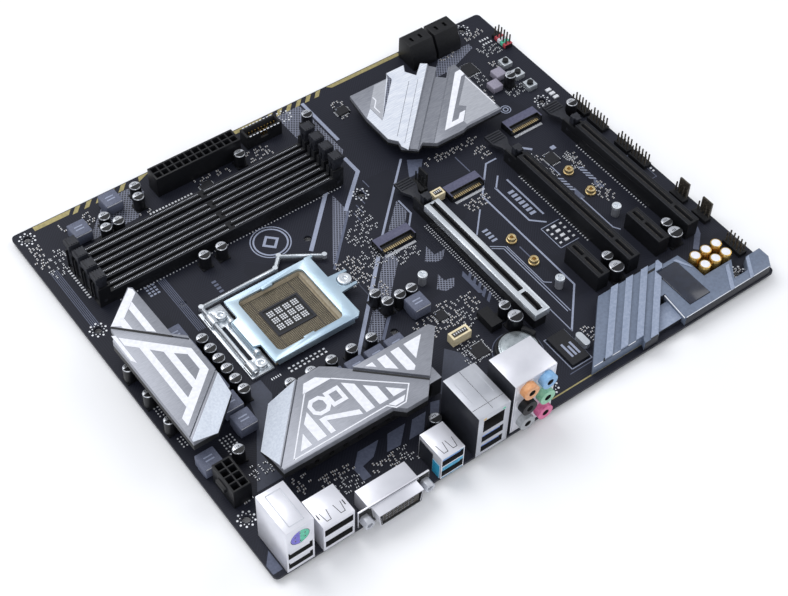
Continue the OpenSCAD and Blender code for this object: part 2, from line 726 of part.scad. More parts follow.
// Plastic tongues and inserts inside the rear ports
module port_tongues() {
    color("#2d5f9e") at_board() {
        for (p = keyboard_ports) tongue(p, 5.6, 0.4, 2.2, 8.5 - eps);
        for (p = usb_ports) tongue(p, 5.6, 0.4, 2.2, 8.2 - eps);
        for (i = [0, 1]) tongue(network_ports[i], 5.6, 0.4, 2.2, 12.2 - eps);
        for (p = display_ports) tongue(p, 5.5, -0.5, 0.5, 8.2 - eps);
        translate([13.2, 0.2, 23.4]) rotate([-90, 0, 0]) cylinder(h = 5.8, r = 4.6);
    }
}

module audio_block() {
    color("#dcdee2") at_board() {
        difference() {
            block([130.9, 0.4, 0.1], [155.6, 20, audio_h]);
            block([132, 0.4 - eps, 1.2], [154.5, 14, audio_h - 1.1]);
        }
        leads([[133, 4], [153, 4], [133, 17], [153, 17]]);
    }
}

// One moulding that fills the audio block's shell, with six collars round its plug holes
module audio_jacks() {
    left = [132.1, 143.6];
    right = [143.5, 154.4];
    low = [1.3, 12.95, 24.75];
    high = [12.85, 24.65, audio_h - 1.2];
    color("#d98a4e") at_board() for (i = [0, 1], j = [0:2]) difference() {
        union() {
            block([left[i], 0.4, low[j]], [right[i], 13.8, high[j]]);
            translate([jack_x[i], -3.4, jack_z[j]]) rotate([-90, 0, 0]) cylinder(h = 4, r = jack_r);
        }
        translate([jack_x[i], -3.5, jack_z[j]]) rotate([-90, 0, 0]) cylinder(h = 12.1, r = 1.8);
    }
}

// Shrouded power socket: cells in two rows, latch ledge on the side towards the front edge
module power_socket(columns, along_x) {
    pitch = 4.2;
    l = columns * pitch + 1.2;
    w = 9.6;
    h = 13.2;
    cell = 3.4;
    difference() {
        cube(along_x ? [l, w, h] : [w, l, h]);
        for (c = [0:columns - 1], r = [0, 1]) {
            a = 0.6 + (c + 0.5) * pitch - cell / 2;
            b = 0.6 + (r + 0.5) * pitch - cell / 2;
            translate(along_x ? [a, b, 2.4] : [b, a, 2.4]) cube([cell, cell, h]);
        }
    }
}

module main_power_socket() {
    color("#15161a") at_board() {
        translate([76.3, 224.3, 0]) power_socket(12, true);
        block([98, 233.8, 7], [106, 235.4, 9.6]);
        leads([for (x = [79, 125.4], y = [227, 231.2]) [x, y]]);
    }
}

module processor_power_socket() {
    color("#15161a") at_board() {
        translate([5, 40.4, 0]) power_socket(4, false);
        block([3.4, 46, 7], [5.1, 53, 9.6]);
        leads([for (x = [7.7, 11.9], y = [43, 56]) [x, y]]);
    }
}

// Two double drive ports that face the front edge
module drive_ports() {
    port_w = 15.8;
    color("#17181d") at_board() for (x = [244.4, 261.8]) {
        difference() {
            translate([x, 0, 0]) rotate([90, 0, 90]) linear_extrude(port_w)
                polygon([[225.2, 0.1], [240.4, 0.1], [240.4, 13.8], [239.6, 14.6], [230.2, 14.6], [225.2, 5.4]]);
            for (z = [3.6, 10.4]) block([x + 1.3, 232.4, z - 2.2], [x + port_w - 1.3, 240.5, z + 2.2]);
            for (s = [3.6, 9.6]) block([x + s, 233, 12.5], [x + s + 1.8, 236.4, 14.7]);
        }
        for (z = [3.6, 10.4]) block([x + 2.8, 232.3, z - 0.6], [x + port_w - 2.8, 239.4, z + 0.6]);
        leads([[x + 2, 228], [x + port_w - 2, 228]]);
    }
}

pin_pitch = 2.54;

module pin_header(columns, rows) {
    cube([rows * pin_pitch, columns * pin_pitch, 2.5]);
    for (c = [0:columns - 1], r = [0:rows - 1])
        translate([(r + 0.5) * pin_pitch - 0.32, (c + 0.5) * pin_pitch - 0.32, 2.5 - eps]) cube([0.64, 0.64, 6]);
}

// Four pins in front of a tall locking wall
module fan_header() {
    pin_header(4, 1);
    translate([-2, 0, 0]) cube([2 + eps, 4 * pin_pitch, 2.5]);
    translate([pin_pitch - eps, 1.6, 0]) cube([1, 7, 11]);
}

module pin_headers() {
    color("#1b1c21") at_board() {
        translate([133.4, 226.8, 0]) difference() {
            cube([22.2, 7.4, 9]);
            translate([1.2, 1.2, 1.6]) cube([19.8, 5, 9]);
            translate([8.6, -eps, 4]) cube([5, 2, 9]);
        }
        for (y = [210, 92, 126, 141]) translate([298.4, y, 0]) pin_header(5, 2);
        translate([298.4, 106, 0]) pin_header(4, 2);
        translate([296, 16.8, 0]) pin_header(5, 2);
        for (y = [44, 61]) translate([299.4, y, 0]) fan_header();
        translate([191.5, 146.5, 0]) fan_header();
        block([141, 56, 0], [152, 61, 5.5]);
        block([191.6, 137, 0], [198.4, 141.8, 5]);
        translate([161.5, 52, 0]) cube([6.6, 12, 5]);
    }
}

module capacitors() {
    color("#c8cacc") at_board() {
        for (c = cans) translate([c[0], c[1], 0]) cylinder(h = c[3], r = c[2]);
        for (i = [0:2], j = [0, 1])
            translate([audio_can_x + audio_can_pitch * i, audio_can_y + audio_can_pitch * j, 0])
                cylinder(h = audio_can_h, r = audio_can_r);
    }
}

module chokes() {
    color("#777b90") at_board() {
        for (p = choke_points) translate([p[0], p[1], 0]) {
            translate([0, 0, 0.8]) cube([choke_side, choke_side, choke_h - 0.8]);
            for (s = [0, choke_side - 1.6]) translate([s, 2, 0]) cube([1.6, choke_side - 4, 0.81]);
        }
        for (p = small_choke_points) translate([p[0], p[1], 0]) cube([small_choke_side, small_choke_side, small_choke_h]);
    }
}

module chips() {
    color("#101216") at_board() {
        for (c = chip_list)
            block([c[0] - c[2] / 2, c[1] - c[3] / 2, 0], [c[0] + c[2] / 2, c[1] + c[3] / 2, c[4]]);
        // crystal can with rounded ends
        for (y = [19.2, 24.4]) translate([194.2, y, 0]) cylinder(h = 3.5, r = 1.9);
        block([192.3, 19.2, 0], [196.1, 24.4, 3.5]);
    }
}

module cell_holder() {
    color("#14151a") at_board() translate([cell_x, cell_y, 0]) difference() {
        union() {
            cylinder(h = 2.4, r = cell_r + 1.4);
            for (a = [25, 205]) rotate([0, 0, a]) translate([cell_r - 0.4, -3.5, 0]) cube([2.4, 7, 5.4]);
        }
        translate([0, 0, 1.2]) cylinder(h = 6, r = cell_r + 0.1);
    }
}

module coin_cell() {
    color("#b9bfc2") at_board() translate([cell_x, cell_y, 1.2]) union() {
        cylinder(h = 2.6, r = cell_r);
        cylinder(h = 3.2, r = cell_r - 0.9);
    }
}

module switch_bases() {
    color("#d2d4d6") at_board() for (p = switch_points) translate([p[0], p[1], 0]) difference() {
        block([-switch_side / 2, -switch_side / 2, 0], [switch_side / 2, switch_side / 2, switch_base_h]);
        translate([0, 0, switch_base_h - 1.5]) cylinder(h = 2, r = switch_cap_r + 0.06);
    }
}

// Plunger that stands in its base's well and sinks when pressed
module switch_cap(i) {
    p = switch_points[i - 1];
    color("#191a1d") at_board() translate([p[0], p[1], switch_base_h - 1.1])
        cylinder(h = 1.1 + switch_cap_h, r = switch_cap_r);
}

board();
socket_backplate();
socket_housing();
socket_contacts();
socket_hinge_frame();
socket_load_plate();
socket_load_lever();
socket_screws();
for (i = [1:memory_count]) {
    memory_slot(i);
    memory_latch(i, 0);
    memory_latch(i, 1);
}
slot_contacts();
armoured_slot();
slot_armour();
long_slots();
short_slots();
card_latch(0);  // card_latch_1
card_latch(3);  // card_latch_2
card_latch(5);  // card_latch_3
storage_sockets();
storage_standoffs();
side_heatsink();
rear_heatsink();
chipset_heatsink();
thermal_pads();
heatsink_screws();
audio_shroud();
shroud_badge();
keyboard_port_shell();
display_port_shell();
monitor_port();
monitor_port_nuts();
usb_port_shell();
network_port_shell();
port_tongues();
audio_block();
audio_jacks();
main_power_socket();
processor_power_socket();
drive_ports();
pin_headers();
capacitors();
chokes();
chips();
coin_cell();
cell_holder();
switch_bases();
for (i = [1:3]) switch_cap(i);
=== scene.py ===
"""Looks of a full-size desktop motherboard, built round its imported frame."""

import math

import bmesh
import bpy
from mathutils import Matrix, Vector


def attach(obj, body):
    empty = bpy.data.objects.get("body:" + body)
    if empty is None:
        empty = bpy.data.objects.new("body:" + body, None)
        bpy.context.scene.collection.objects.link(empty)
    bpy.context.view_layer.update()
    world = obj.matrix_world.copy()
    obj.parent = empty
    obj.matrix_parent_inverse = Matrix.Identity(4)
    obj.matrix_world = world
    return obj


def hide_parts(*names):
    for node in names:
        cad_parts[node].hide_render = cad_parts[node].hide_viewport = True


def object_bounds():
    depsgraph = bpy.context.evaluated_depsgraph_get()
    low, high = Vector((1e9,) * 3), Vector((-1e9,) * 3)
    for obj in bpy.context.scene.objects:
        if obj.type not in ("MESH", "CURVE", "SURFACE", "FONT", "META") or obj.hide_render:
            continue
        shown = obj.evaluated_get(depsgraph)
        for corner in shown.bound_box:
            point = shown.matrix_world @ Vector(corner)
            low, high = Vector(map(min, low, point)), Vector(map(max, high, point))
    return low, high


bl_info = {
    "name": "Motherboard maker",
    "version": (1, 0, 0),
    "blender": (4, 5, 0),
    "location": "View3D > Sidebar > Motherboard",
    "description": "Builds the pieces and finishes of a desktop motherboard on its frame",
    "category": "Add Mesh",
}

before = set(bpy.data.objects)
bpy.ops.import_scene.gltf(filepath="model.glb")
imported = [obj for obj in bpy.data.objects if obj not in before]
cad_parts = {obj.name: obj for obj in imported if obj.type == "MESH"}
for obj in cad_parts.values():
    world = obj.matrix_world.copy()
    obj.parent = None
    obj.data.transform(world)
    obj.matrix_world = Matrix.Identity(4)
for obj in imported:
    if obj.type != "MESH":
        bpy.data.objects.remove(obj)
CAD_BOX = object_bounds()
BOARD = "mainboard"

# The rear left corner of the laminate's top, in the frame's millimetres
LEFT, REAR, TOP = 6.35, 33.02, 1.6
MM = 0.001


def at(x, y, z=0.0):
    """A point given in millimetres from the laminate's rear left top corner, in the frame's metres."""
    return Vector(((x - LEFT) * MM, (y - REAR) * MM, (z + TOP) * MM))


def tone(code):
    """Linear colour of a hex code or of a colour property, with full alpha."""
    if not isinstance(code, str):
        return list(code)[:3] + [1.0]
    parts = [int(code[i:i + 2], 16) / 255 for i in (0, 2, 4)]
    return [p / 12.92 if p <= 0.04045 else ((p + 0.055) / 1.055) ** 2.4 for p in parts] + [1.0]


def shade(colour, amount):
    """A colour made darker or lighter by a factor."""
    return [min(1.0, c * amount) for c in list(colour)[:3]] + [1.0]


# ---------------------------------------------------------------- finishes

def add(nodes, kind, inputs=None, **settings):
    """A new node with its settings and the values of its inputs."""
    node = nodes.new(kind)
    for key, value in settings.items():
        setattr(node, key, value)
    for key, value in (inputs or {}).items():
        node.inputs[key].default_value = value
    return node


def new_finish(name):
    """A new finish with its nodes, its links, its shader and the object's own coordinates."""
    finish = bpy.data.materials.new(name)
    finish.use_nodes = True
    nodes = finish.node_tree.nodes
    where = nodes.new("ShaderNodeTexCoord").outputs["Object"]
    return finish, nodes, finish.node_tree.links, nodes["Principled BSDF"], where


def turned_coordinates(nodes, links, where, turn, stretch=(1.0, 1.0, 1.0)):
    """The coordinates turned about the upright axis and stretched."""
    mapping = add(nodes, "ShaderNodeMapping", {"Scale": stretch})
    mapping.inputs["Rotation"].default_value[2] = turn
    links.new(where, mapping.inputs["Vector"])
    return mapping.outputs["Vector"]


def vary_roughness(nodes, links, shader, source, low, high):
    """Roughness that runs from low to high as the source does from 0 to 1."""
    spread = add(nodes, "ShaderNodeMapRange", {"To Min": low, "To Max": high})
    links.new(source, spread.inputs["Value"])
    links.new(spread.outputs["Result"], shader.inputs["Roughness"])


def raise_surface(nodes, links, shader, source, strength, distance, invert=False):
    """Relief that follows the source."""
    relief = add(nodes, "ShaderNodeBump", {"Strength": strength, "Distance": distance}, invert=invert)
    links.new(source, relief.inputs["Height"])
    links.new(relief.outputs["Normal"], shader.inputs["Normal"])


def sum_of(nodes, links, operation, first, *others):
    """One sum on a socket and on further sockets or numbers."""
    node = add(nodes, "ShaderNodeMath", operation=operation)
    links.new(first, node.inputs[0])
    for index, value in enumerate(others, 1):
        if isinstance(value, float):
            node.inputs[index].default_value = value
        else:
            links.new(value, node.inputs[index])
    return node.outputs[0]


def make_finish(name, dark, light, rough=(0.4, 0.55), metal=0.0, grain=700.0, bump=0.15, relief=0.00005,
                stretch=(1.0, 1.0, 1.0), turn=0.0, coat=0.0, specular=0.5, detail=3.0):
    """A finish whose colour, roughness and relief follow one noise; stretch and turn make it brushed."""
    finish, nodes, links, shader, where = new_finish(name)
    for key, value in (("Metallic", metal), ("Coat Weight", coat), ("Coat Roughness", 0.12),
                       ("Specular IOR Level", specular)):
        shader.inputs[key].default_value = value
    noise = add(nodes, "ShaderNodeTexNoise", {"Scale": grain, "Detail": detail})
    links.new(turned_coordinates(nodes, links, where, turn, stretch), noise.inputs["Vector"])
    ramp = nodes.new("ShaderNodeValToRGB")
    for element, position, colour in zip(ramp.color_ramp.elements, (0.3, 0.7), (dark, light)):
        element.position = position
        element.color = tone(colour)
    links.new(noise.outputs["Fac"], ramp.inputs["Fac"])
    links.new(ramp.outputs["Color"], shader.inputs["Base Color"])
    vary_roughness(nodes, links, shader, noise.outputs["Fac"], *rough)
    raise_surface(nodes, links, shader, noise.outputs["Fac"], bump, relief)
    return finish


def make_solder_mask(name, ground, track, copper):
    """Dark solder mask over bundles of thin tracks that run straight or slanted in patches."""
    finish, nodes, links, shader, where = new_finish(name)
    shader.inputs["Specular IOR Level"].default_value = 0.22
    patches = add(nodes, "ShaderNodeTexVoronoi", {"Scale": 42.0, "Randomness": 0.9}, distance="CHEBYCHEV")
    links.new(where, patches.inputs["Vector"])
    pick = nodes.new("ShaderNodeSeparateColor")
    links.new(patches.outputs["Color"], pick.inputs["Color"])
    lines = None
    # the angle of a bundle, and the share of the patches that it fills
    for turn, low, high in ((45, 0.0, 0.32), (-45, 0.32, 0.5), (0, 0.5, 0.72), (90, 0.72, 0.86)):
        wave = add(nodes, "ShaderNodeTexWave", {"Scale": 260.0})
        links.new(turned_coordinates(nodes, links, where, math.radians(turn)), wave.inputs["Vector"])
        inside = sum_of(nodes, links, "COMPARE", pick.outputs["Red"], (low + high) / 2, (high - low) / 2)
        sharp = sum_of(nodes, links, "GREATER_THAN", wave.outputs["Fac"], 0.6)
        masked = sum_of(nodes, links, "MULTIPLY", sharp, inside)
        lines = sum_of(nodes, links, "MAXIMUM", lines, masked) if lines else masked
    cloud = add(nodes, "ShaderNodeTexNoise", {"Scale": 35.0, "Detail": 4.0})
    links.new(where, cloud.inputs["Vector"])
    floor_tone = add(nodes, "ShaderNodeMix", data_type="RGBA")
    floor_tone.inputs[6].default_value = tone(ground)
    floor_tone.inputs[7].default_value = tone(copper)
    links.new(cloud.outputs["Fac"], floor_tone.inputs[0])
    colour = add(nodes, "ShaderNodeMix", data_type="RGBA")
    colour.inputs[7].default_value = tone(track)
    links.new(lines, colour.inputs[0])
    links.new(floor_tone.outputs[2], colour.inputs[6])
    links.new(colour.outputs[2], shader.inputs["Base Color"])
    vary_roughness(nodes, links, shader, cloud.outputs["Fac"], 0.42, 0.6)
    raise_surface(nodes, links, shader, lines, 0.35, 0.00004)
    return finish


def make_checks(name, dark, light, pitch, rough=0.45, metal=0.0, gap=0.25, turn=0.0):
    """A grid of little raised squares on a darker ground, as on a field of contacts or a copper mesh."""
    finish, nodes, links, shader, where = new_finish(name)
    shader.inputs["Metallic"].default_value = metal
    bricks = add(nodes, "ShaderNodeTexBrick", {
        "Scale": 1.0, "Brick Width": pitch, "Row Height": pitch, "Mortar Size": pitch * gap,
        "Mortar Smooth": 0.4,
        "Color1": tone(light), "Color2": [c * 0.75 for c in tone(light)[:3]] + [1], "Mortar": tone(dark)},
        offset=0.0)
    links.new(turned_coordinates(nodes, links, where, turn), bricks.inputs["Vector"])
    links.new(bricks.outputs["Color"], shader.inputs["Base Color"])
    grain = add(nodes, "ShaderNodeTexNoise", {"Scale": 900.0})
    links.new(where, grain.inputs["Vector"])
    vary_roughness(nodes, links, shader, grain.outputs["Fac"], rough - 0.08, rough + 0.1)
    raise_surface(nodes, links, shader, bricks.outputs["Fac"], 0.5, 0.0001, invert=True)
    return finish


DIAGONAL = math.radians(-45)
BRUSHED = dict(metal=0.55, grain=260.0, stretch=(1.0, 14.0, 1.0), bump=0.2, relief=0.00003)

# Darker tone, lighter tone, roughness and the other settings of make_finish. A number and a name stand for a
# colour setting and the factor that gives its darker tone.
NOISE_FINISHES = {
    "marking": (0.8, "marking", (0.5, 0.65), dict(grain=1500.0)),
    # also painted highlights along the audio cover's front edges
    "bright_marking": ("c9cdd6", "e6e9ef", (0.5, 0.65), dict(grain=1500.0)),
    # also painted shade round the pressed ridges of the audio block
    "slate_marking_and_shade": ("4c5266", "5b6277", (0.5, 0.65), dict(grain=900.0)),
    "deep_marking": ("343947", "3d4252", (0.5, 0.65), dict(grain=900.0)),
    "gold_marking": ("8c8358", "a89d6c", (0.4, 0.55), dict(metal=0.3, grain=900.0)),
    # also painted highlights along the chokes' near top edges
    "solder": ("cdd1d8", "eceef2", (0.3, 0.45), dict(metal=0.35, grain=1800.0)),
    "nickel": ("d3d4dc", "e6e7ee", (0.3, 0.36), dict(metal=0.5, grain=60.0, bump=0.02)),
    "soft_nickel": ("aeb1b9", "c6c9d0", (0.34, 0.42), dict(metal=0.5, grain=70.0, bump=0.02)),
    "bright_steel": ("c4cbd2", "e6ebf0", (0.3, 0.34), dict(metal=0.75, grain=40.0, bump=0.0)),
    "blue_steel": ("a6bfd2", "cfe1ec", (0.32, 0.38), dict(metal=0.7, grain=30.0, bump=0.0)),
    "dull_zinc": ("6c6f75", "85888e", (0.4, 0.6), dict(metal=0.8, grain=400.0)),
    "dark_plating": ("2c2e33", "44474e", (0.3, 0.45), dict(metal=0.8, grain=500.0)),
    "gold": ("b98f45", "e4c67f", (0.22, 0.36), dict(metal=0.95, grain=900.0, bump=0.05)),
    "brass": ("b79b66", "e6d4a6", (0.22, 0.36), dict(metal=0.85, grain=800.0, bump=0.08)),
    "tan_moulding": ("8f8470", "a39882", (0.45, 0.6), dict(grain=600.0)),
    "field_pins": ("8d836c", "b1a78c", (0.3, 0.42), dict(metal=0.6, grain=900.0)),
    "pin_metal": ("2d2b2a", "5c564d", (0.3, 0.42), dict(metal=0.7, grain=900.0)),
    "black_moulding": ("0d0e11", "16171b", (0.4, 0.52), dict(grain=900.0, bump=0.1, specular=0.3)),
    # also painted shade on the shaded left walls of port shells and under the audio cover's front
    "charcoal_moulding": ("1b1d23", "272931", (0.42, 0.55), dict(grain=900.0, bump=0.1, specular=0.35)),
    "plum_moulding": ("474860", "56576f", (0.45, 0.6), dict(grain=700.0)),
    "cream_moulding": ("d9caa2", "efe3c2", (0.4, 0.55), dict(grain=700.0)),
    "brushed_grey": (0.75, "heatsink", (0.38, 0.5), dict(BRUSHED, turn=math.radians(90))),
    "slant_grey": ("7a7d87", "94979f", (0.36, 0.5), dict(BRUSHED, turn=DIAGONAL)),
    "pale_grey": ("a9acb4", "c0c3ca", (0.38, 0.5), dict(BRUSHED, turn=DIAGONAL)),
    "white_paint": (0.86, "stripe", (0.4, 0.55), dict(grain=600.0, bump=0.08)),
    "polished_white": ("d3dae8", "f0f4fb", (0.2, 0.32),
                       dict(metal=0.35, grain=200.0, stretch=(1.0, 10.0, 1.0), turn=DIAGONAL, bump=0.08)),
    "pale_bevel": ("c6cedb", "d9e0ea", (0.4, 0.5), dict(metal=0.3, grain=900.0, bump=0.05)),
    "pad": ("7f868e", "9aa1a9", (0.7, 0.85), dict(grain=500.0)),
    "slate_moulding": (0.8, "shroud", (0.42, 0.55), dict(metal=0.2, grain=700.0, bump=0.14)),
    "pale_slate": ("8591a8", "98a3b8", (0.42, 0.55), dict(metal=0.2, grain=700.0, bump=0.14)),
    "badge_gloss": ("151a28", "1e2536", (0.12, 0.22), dict(grain=300.0, bump=0.03, coat=0.5)),
    "choke_powder": ("4f5466", "63697d", (0.5, 0.65), dict(grain=1600.0, bump=0.2)),
    "pale_choke": ("837f90", "9a96a6", (0.5, 0.65), dict(grain=1600.0, bump=0.2)),
    "can_metal": ("b4b8c0", "dde0e5", (0.22, 0.34), dict(metal=0.8, grain=500.0, bump=0.06)),
    "can_sleeve": ("0c0d10", "15161a", (0.36, 0.48), dict(grain=500.0, specular=0.35)),
    "chip_epoxy": ("0f1014", "1a1b21", (0.42, 0.55), dict(grain=1200.0, bump=0.12, specular=0.35)),
    "cell_steel": ("9aa3a8", "bcc4c8", (0.22, 0.36), dict(metal=0.85, grain=420.0, bump=0.1)),
    "ceramic": ("544b43", "73685c", (0.4, 0.55), dict(grain=1200.0)),
    "blue_tongue": ("5d7fc4", "7e9bd8", (0.35, 0.5), dict(grain=600.0)),
    "cyan_moulding": ("1f86ad", "3aa2c8", (0.3, 0.45), dict(grain=600.0)),
    "violet_moulding": ("5f58b8", "7a72cf", (0.35, 0.5), dict(grain=600.0)),
    "green_moulding": ("3fae8d", "64c9a9", (0.35, 0.5), dict(grain=600.0)),
    "orange_jack": ("c98a5b", "e0a778", (0.3, 0.45), dict(grain=600.0)),
    "blue_jack": ("6b9cc9", "8cb7de", (0.3, 0.45), dict(grain=600.0)),
    "green_jack": ("79b392", "97cbac", (0.3, 0.45), dict(grain=600.0)),
    "pink_jack": ("c65585", "dd76a1", (0.3, 0.45), dict(grain=600.0)),
    "grey_jack": ("8e9296", "a9adb1", (0.3, 0.45), dict(grain=600.0)),
    "red_moulding": ("a33a44", "c04d57", (0.35, 0.5), dict(grain=600.0)),
    # painted shade: near-black put into holes, gaps, grooves, recesses and the shaded walls of heatsinks and
    # shells
    "dark_hollow": ("08090b", "101114", (0.5, 0.7), dict(grain=600.0)),
    "floor_paint": ("f2f3f5", "f7f8fa", (0.6, 0.7), dict(grain=8.0, bump=0.0)),
}

# Settings of make_checks
CHECKED_FINISHES = {
    "mesh_marking": dict(dark="7d8294", light="2b2e3a", pitch=0.0014, gap=0.17, turn=0.6),
    "contact_field": dict(dark="2f2c28", light="6f6656", pitch=0.001, metal=0.25, gap=0.2),
}

FINISHES = {}


def finish_of(name):
    """A finish by its name, made the first time it is asked for."""
    if name not in FINISHES:
        looks = bpy.context.scene.motherboard_looks
        if name == "solder_mask":
            made = make_solder_mask(name, looks.mask, shade(looks.mask, 1.45), shade(looks.mask, 1.15))
        elif name in CHECKED_FINISHES:
            made = make_checks(name, **CHECKED_FINISHES[name])
        else:
            dark, light, rough, rest = NOISE_FINISHES[name]
            if isinstance(dark, float):
                light = getattr(looks, light)
                dark = shade(light, dark)
            made = make_finish(name, dark, light, rough, **rest)
        FINISHES[name] = made
    return FINISHES[name]


# ---------------------------------------------------------------- mesh making

class Piece:
    """Closed solids in board millimetres, gathered into one mesh."""

    def __init__(self, name, *finishes):
        self.name = name
        self.finishes = list(finishes)
        self.bm = bmesh.new()

    def solid(self, points, faces, finish=None, place=None):
        """Adds one closed solid from its own points and faces."""
        place = place or Matrix()
        made = [self.bm.verts.new(at(*(place @ Vector(p)))) for p in points]
        index = self.finishes.index(finish) if finish else 0
        for face in faces:
            self.bm.faces.new([made[i] for i in face]).material_index = index
        return self

    def prism(self, outline, low, high, finish=None, place=None):
        """An upright prism over an outline."""
        area = sum(a[0] * b[1] - b[0] * a[1] for a, b in zip(outline, outline[1:] + outline[:1]))
        outline = list(outline) if area > 0 else list(outline)[::-1]
        n = len(outline)
        points = [(x, y, low) for x, y in outline] + [(x, y, high) for x, y in outline]
        faces = [tuple(range(n))[::-1], tuple(range(n, 2 * n))]
        faces += [(i, (i + 1) % n, n + (i + 1) % n, n + i) for i in range(n)]
        return self.solid(points, faces, finish, place)

    def block(self, low, high, finish=None, place=None):
        """A box from its lowest to its highest corner."""
        (x0, y0, z0), (x1, y1, z1) = low, high
        return self.prism([(x0, y0), (x1, y0), (x1, y1), (x0, y1)], z0, z1, finish, place)

    def turned(self, profile, centre=(0, 0, 0), sides=24, finish=None, place=None):
        """A solid turned about an upright axis; the profile runs from the bottom up as (radius, height)."""
        place = (place or Matrix()) @ Matrix.Translation(centre)
        points = [(r * math.cos(a), r * math.sin(a), z) for r, z in profile
                  for a in (2 * math.pi * i / sides for i in range(sides))]
        faces = [tuple(range(sides))[::-1], tuple(range(len(points) - sides, len(points)))]
        for k in range(len(profile) - 1):
            for i in range(sides):
                j = (i + 1) % sides
                faces.append((k * sides + i, k * sides + j, (k + 1) * sides + j, (k + 1) * sides + i))
        return self.solid(points, faces, finish, place)

    def ring(self, centre, outer, inner, low, high, sides=48, finish=None, place=None):
        """An upright ring."""
        place = (place or Matrix()) @ Matrix.Translation((centre[0], centre[1], 0))
        points = []
        for r, z in ((outer, low), (outer, high), (inner, high), (inner, low)):
            points += [(r * math.cos(2 * math.pi * i / sides), r * math.sin(2 * math.pi * i / sides), z)
                       for i in range(sides)]
        faces = []
        for k in range(4):
            for i in range(sides):
                j = (i + 1) % sides
                m = (k + 1) % 4
                faces.append((k * sides + i, k * sides + j, m * sides + j, m * sides + i))
        return self.solid(points, faces, finish, place)

    def stroke(self, points, width, low, high, finish=None, closed=False, place=None):
        """A band of even width along a line of points, with mitred corners."""
        line = [Vector(p).to_2d() if len(p) > 2 else Vector(p) for p in points]
        n = len(line)
        sides = []
        for i, p in enumerate(line):
            before = (p - line[i - 1]).normalized() if i or closed else None
            after = (line[(i + 1) % n] - p).normalized() if i < n - 1 or closed else None
            a, b = before or after, after or before
            normal = Vector((-a.y - b.y, a.x + b.x)).normalized()
            reach = width / 2 / max(0.35, normal.dot(Vector((-a.y, a.x))))
            sides.append((p + normal * reach, p - normal * reach))
        if not closed:
            outline = [s[1] for s in sides] + [s[0] for s in sides[::-1]]
            return self.prism([tuple(p) for p in outline], low, high, finish, place)
        points3, faces = [], []
        for z in (low, high):
            for side in (0, 1):
                points3 += [(s[side].x, s[side].y, z) for s in sides]
        for i in range(n):
            j = (i + 1) % n
            for a, b in ((0, 2), (2, 3), (3, 1), (1, 0)):
                faces.append((a * n + i, a * n + j, b * n + j, b * n + i))
        return self.solid(points3, faces, finish, place)

    def add_mesh(self, mesh):
        """Adds a mesh that is already in the frame's metres, with its own finishes."""
        order = []
        for material in mesh.materials:
            name = next((known for known, made in FINISHES.items() if made == material), self.finishes[0])
            if name not in self.finishes:
                self.finishes.append(name)
            order.append(self.finishes.index(name))
        before = len(self.bm.faces)
        self.bm.from_mesh(mesh)
        self.bm.faces.ensure_lookup_table()
        for face in self.bm.faces[before:]:
            face.material_index = order[face.material_index] if order else 0
        bpy.data.meshes.remove(mesh)
        return self

    def rows(self, *values, **options):
        """Adds the pegs that the function of the same name makes."""
        return self.add_mesh(rows(*values, **options))

    def done(self, body=BOARD, replaces=(), ease=0.0, segments=1, smooth=35):
        """Makes the object, eases its edges and lets it ride on its body."""
        bm = self.bm
        bmesh.ops.recalc_face_normals(bm, faces=bm.faces)
        if ease:
            ease_edges(bm, ease, segments)
        mesh = bpy.data.meshes.new(self.name)
        bm.to_mesh(mesh)
        bm.free()
        return settle(mesh, self.name, self.finishes, body, replaces, smooth)


def settle(mesh, name, finishes, body, replaces=(), smooth=35):
    """Gives a mesh its finishes and its smooth faces, and sets it on its body."""
    for finish in finishes:
        mesh.materials.append(finish_of(finish))
    mesh.shade_smooth()
    mesh.set_sharp_from_angle(angle=math.radians(smooth))
    piece = bpy.data.objects.new(name, mesh)
    bpy.context.scene.collection.objects.link(piece)
    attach(piece, body)
    if replaces:
        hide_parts(*replaces)
    return piece


def ease_edges(bm, width, segments=1, angle=30):
    """Bevels every edge that turns by more than an angle."""
    sharp = [e for e in bm.edges if len(e.link_faces) == 2 and e.calc_face_angle(0) > math.radians(angle)]
    bmesh.ops.bevel(bm, geom=sharp, offset=width * MM, segments=segments, profile=0.5, affect="EDGES",
                    clamp_overlap=True)


def soften(node, finishes, body=BOARD, width=0.15, segments=1, paint=None, smooth=35, cuts=()):
    """A node's copy with eased edges, which stands for it. Its faces are cut level at the heights in cuts, and
    paint picks a finish from a face's middle and normal."""
    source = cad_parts[node]
    bm = bmesh.new()
    bm.from_mesh(source.data)
    bmesh.ops.remove_doubles(bm, verts=bm.verts, dist=0.000002)
    bmesh.ops.dissolve_limit(bm, angle_limit=math.radians(0.6), verts=bm.verts, edges=bm.edges)
    for face in bm.faces:
        face.material_index = 0
    if width:
        ease_edges(bm, width, segments)
    for height in cuts:
        bmesh.ops.bisect_plane(bm, geom=bm.verts[:] + bm.edges[:] + bm.faces[:], plane_co=at(0, 0, height),
                               plane_no=(0, 0, 1))
    if paint:
        bm.normal_update()
        for face in bm.faces:
            middle = face.calc_center_median() / MM + Vector((LEFT, REAR, -TOP))
            chosen = paint(middle, face.normal)
            if chosen:
                face.material_index = finishes.index(chosen)
    mesh = bpy.data.meshes.new(node + "_shape")
    bm.to_mesh(mesh)
    bm.free()
    return settle(mesh, node + "_shape", finishes, body, [node], smooth)


def repaint(node, finish):
    """A node that keeps its shape gets a finish."""
    node_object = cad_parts[node]
    for held in node_object.material_slots:
        held.material = finish_of(finish)
    if not node_object.material_slots:
        node_object.data.materials.append(finish_of(finish))


# ---------------------------------------------------------------- trees for what repeats

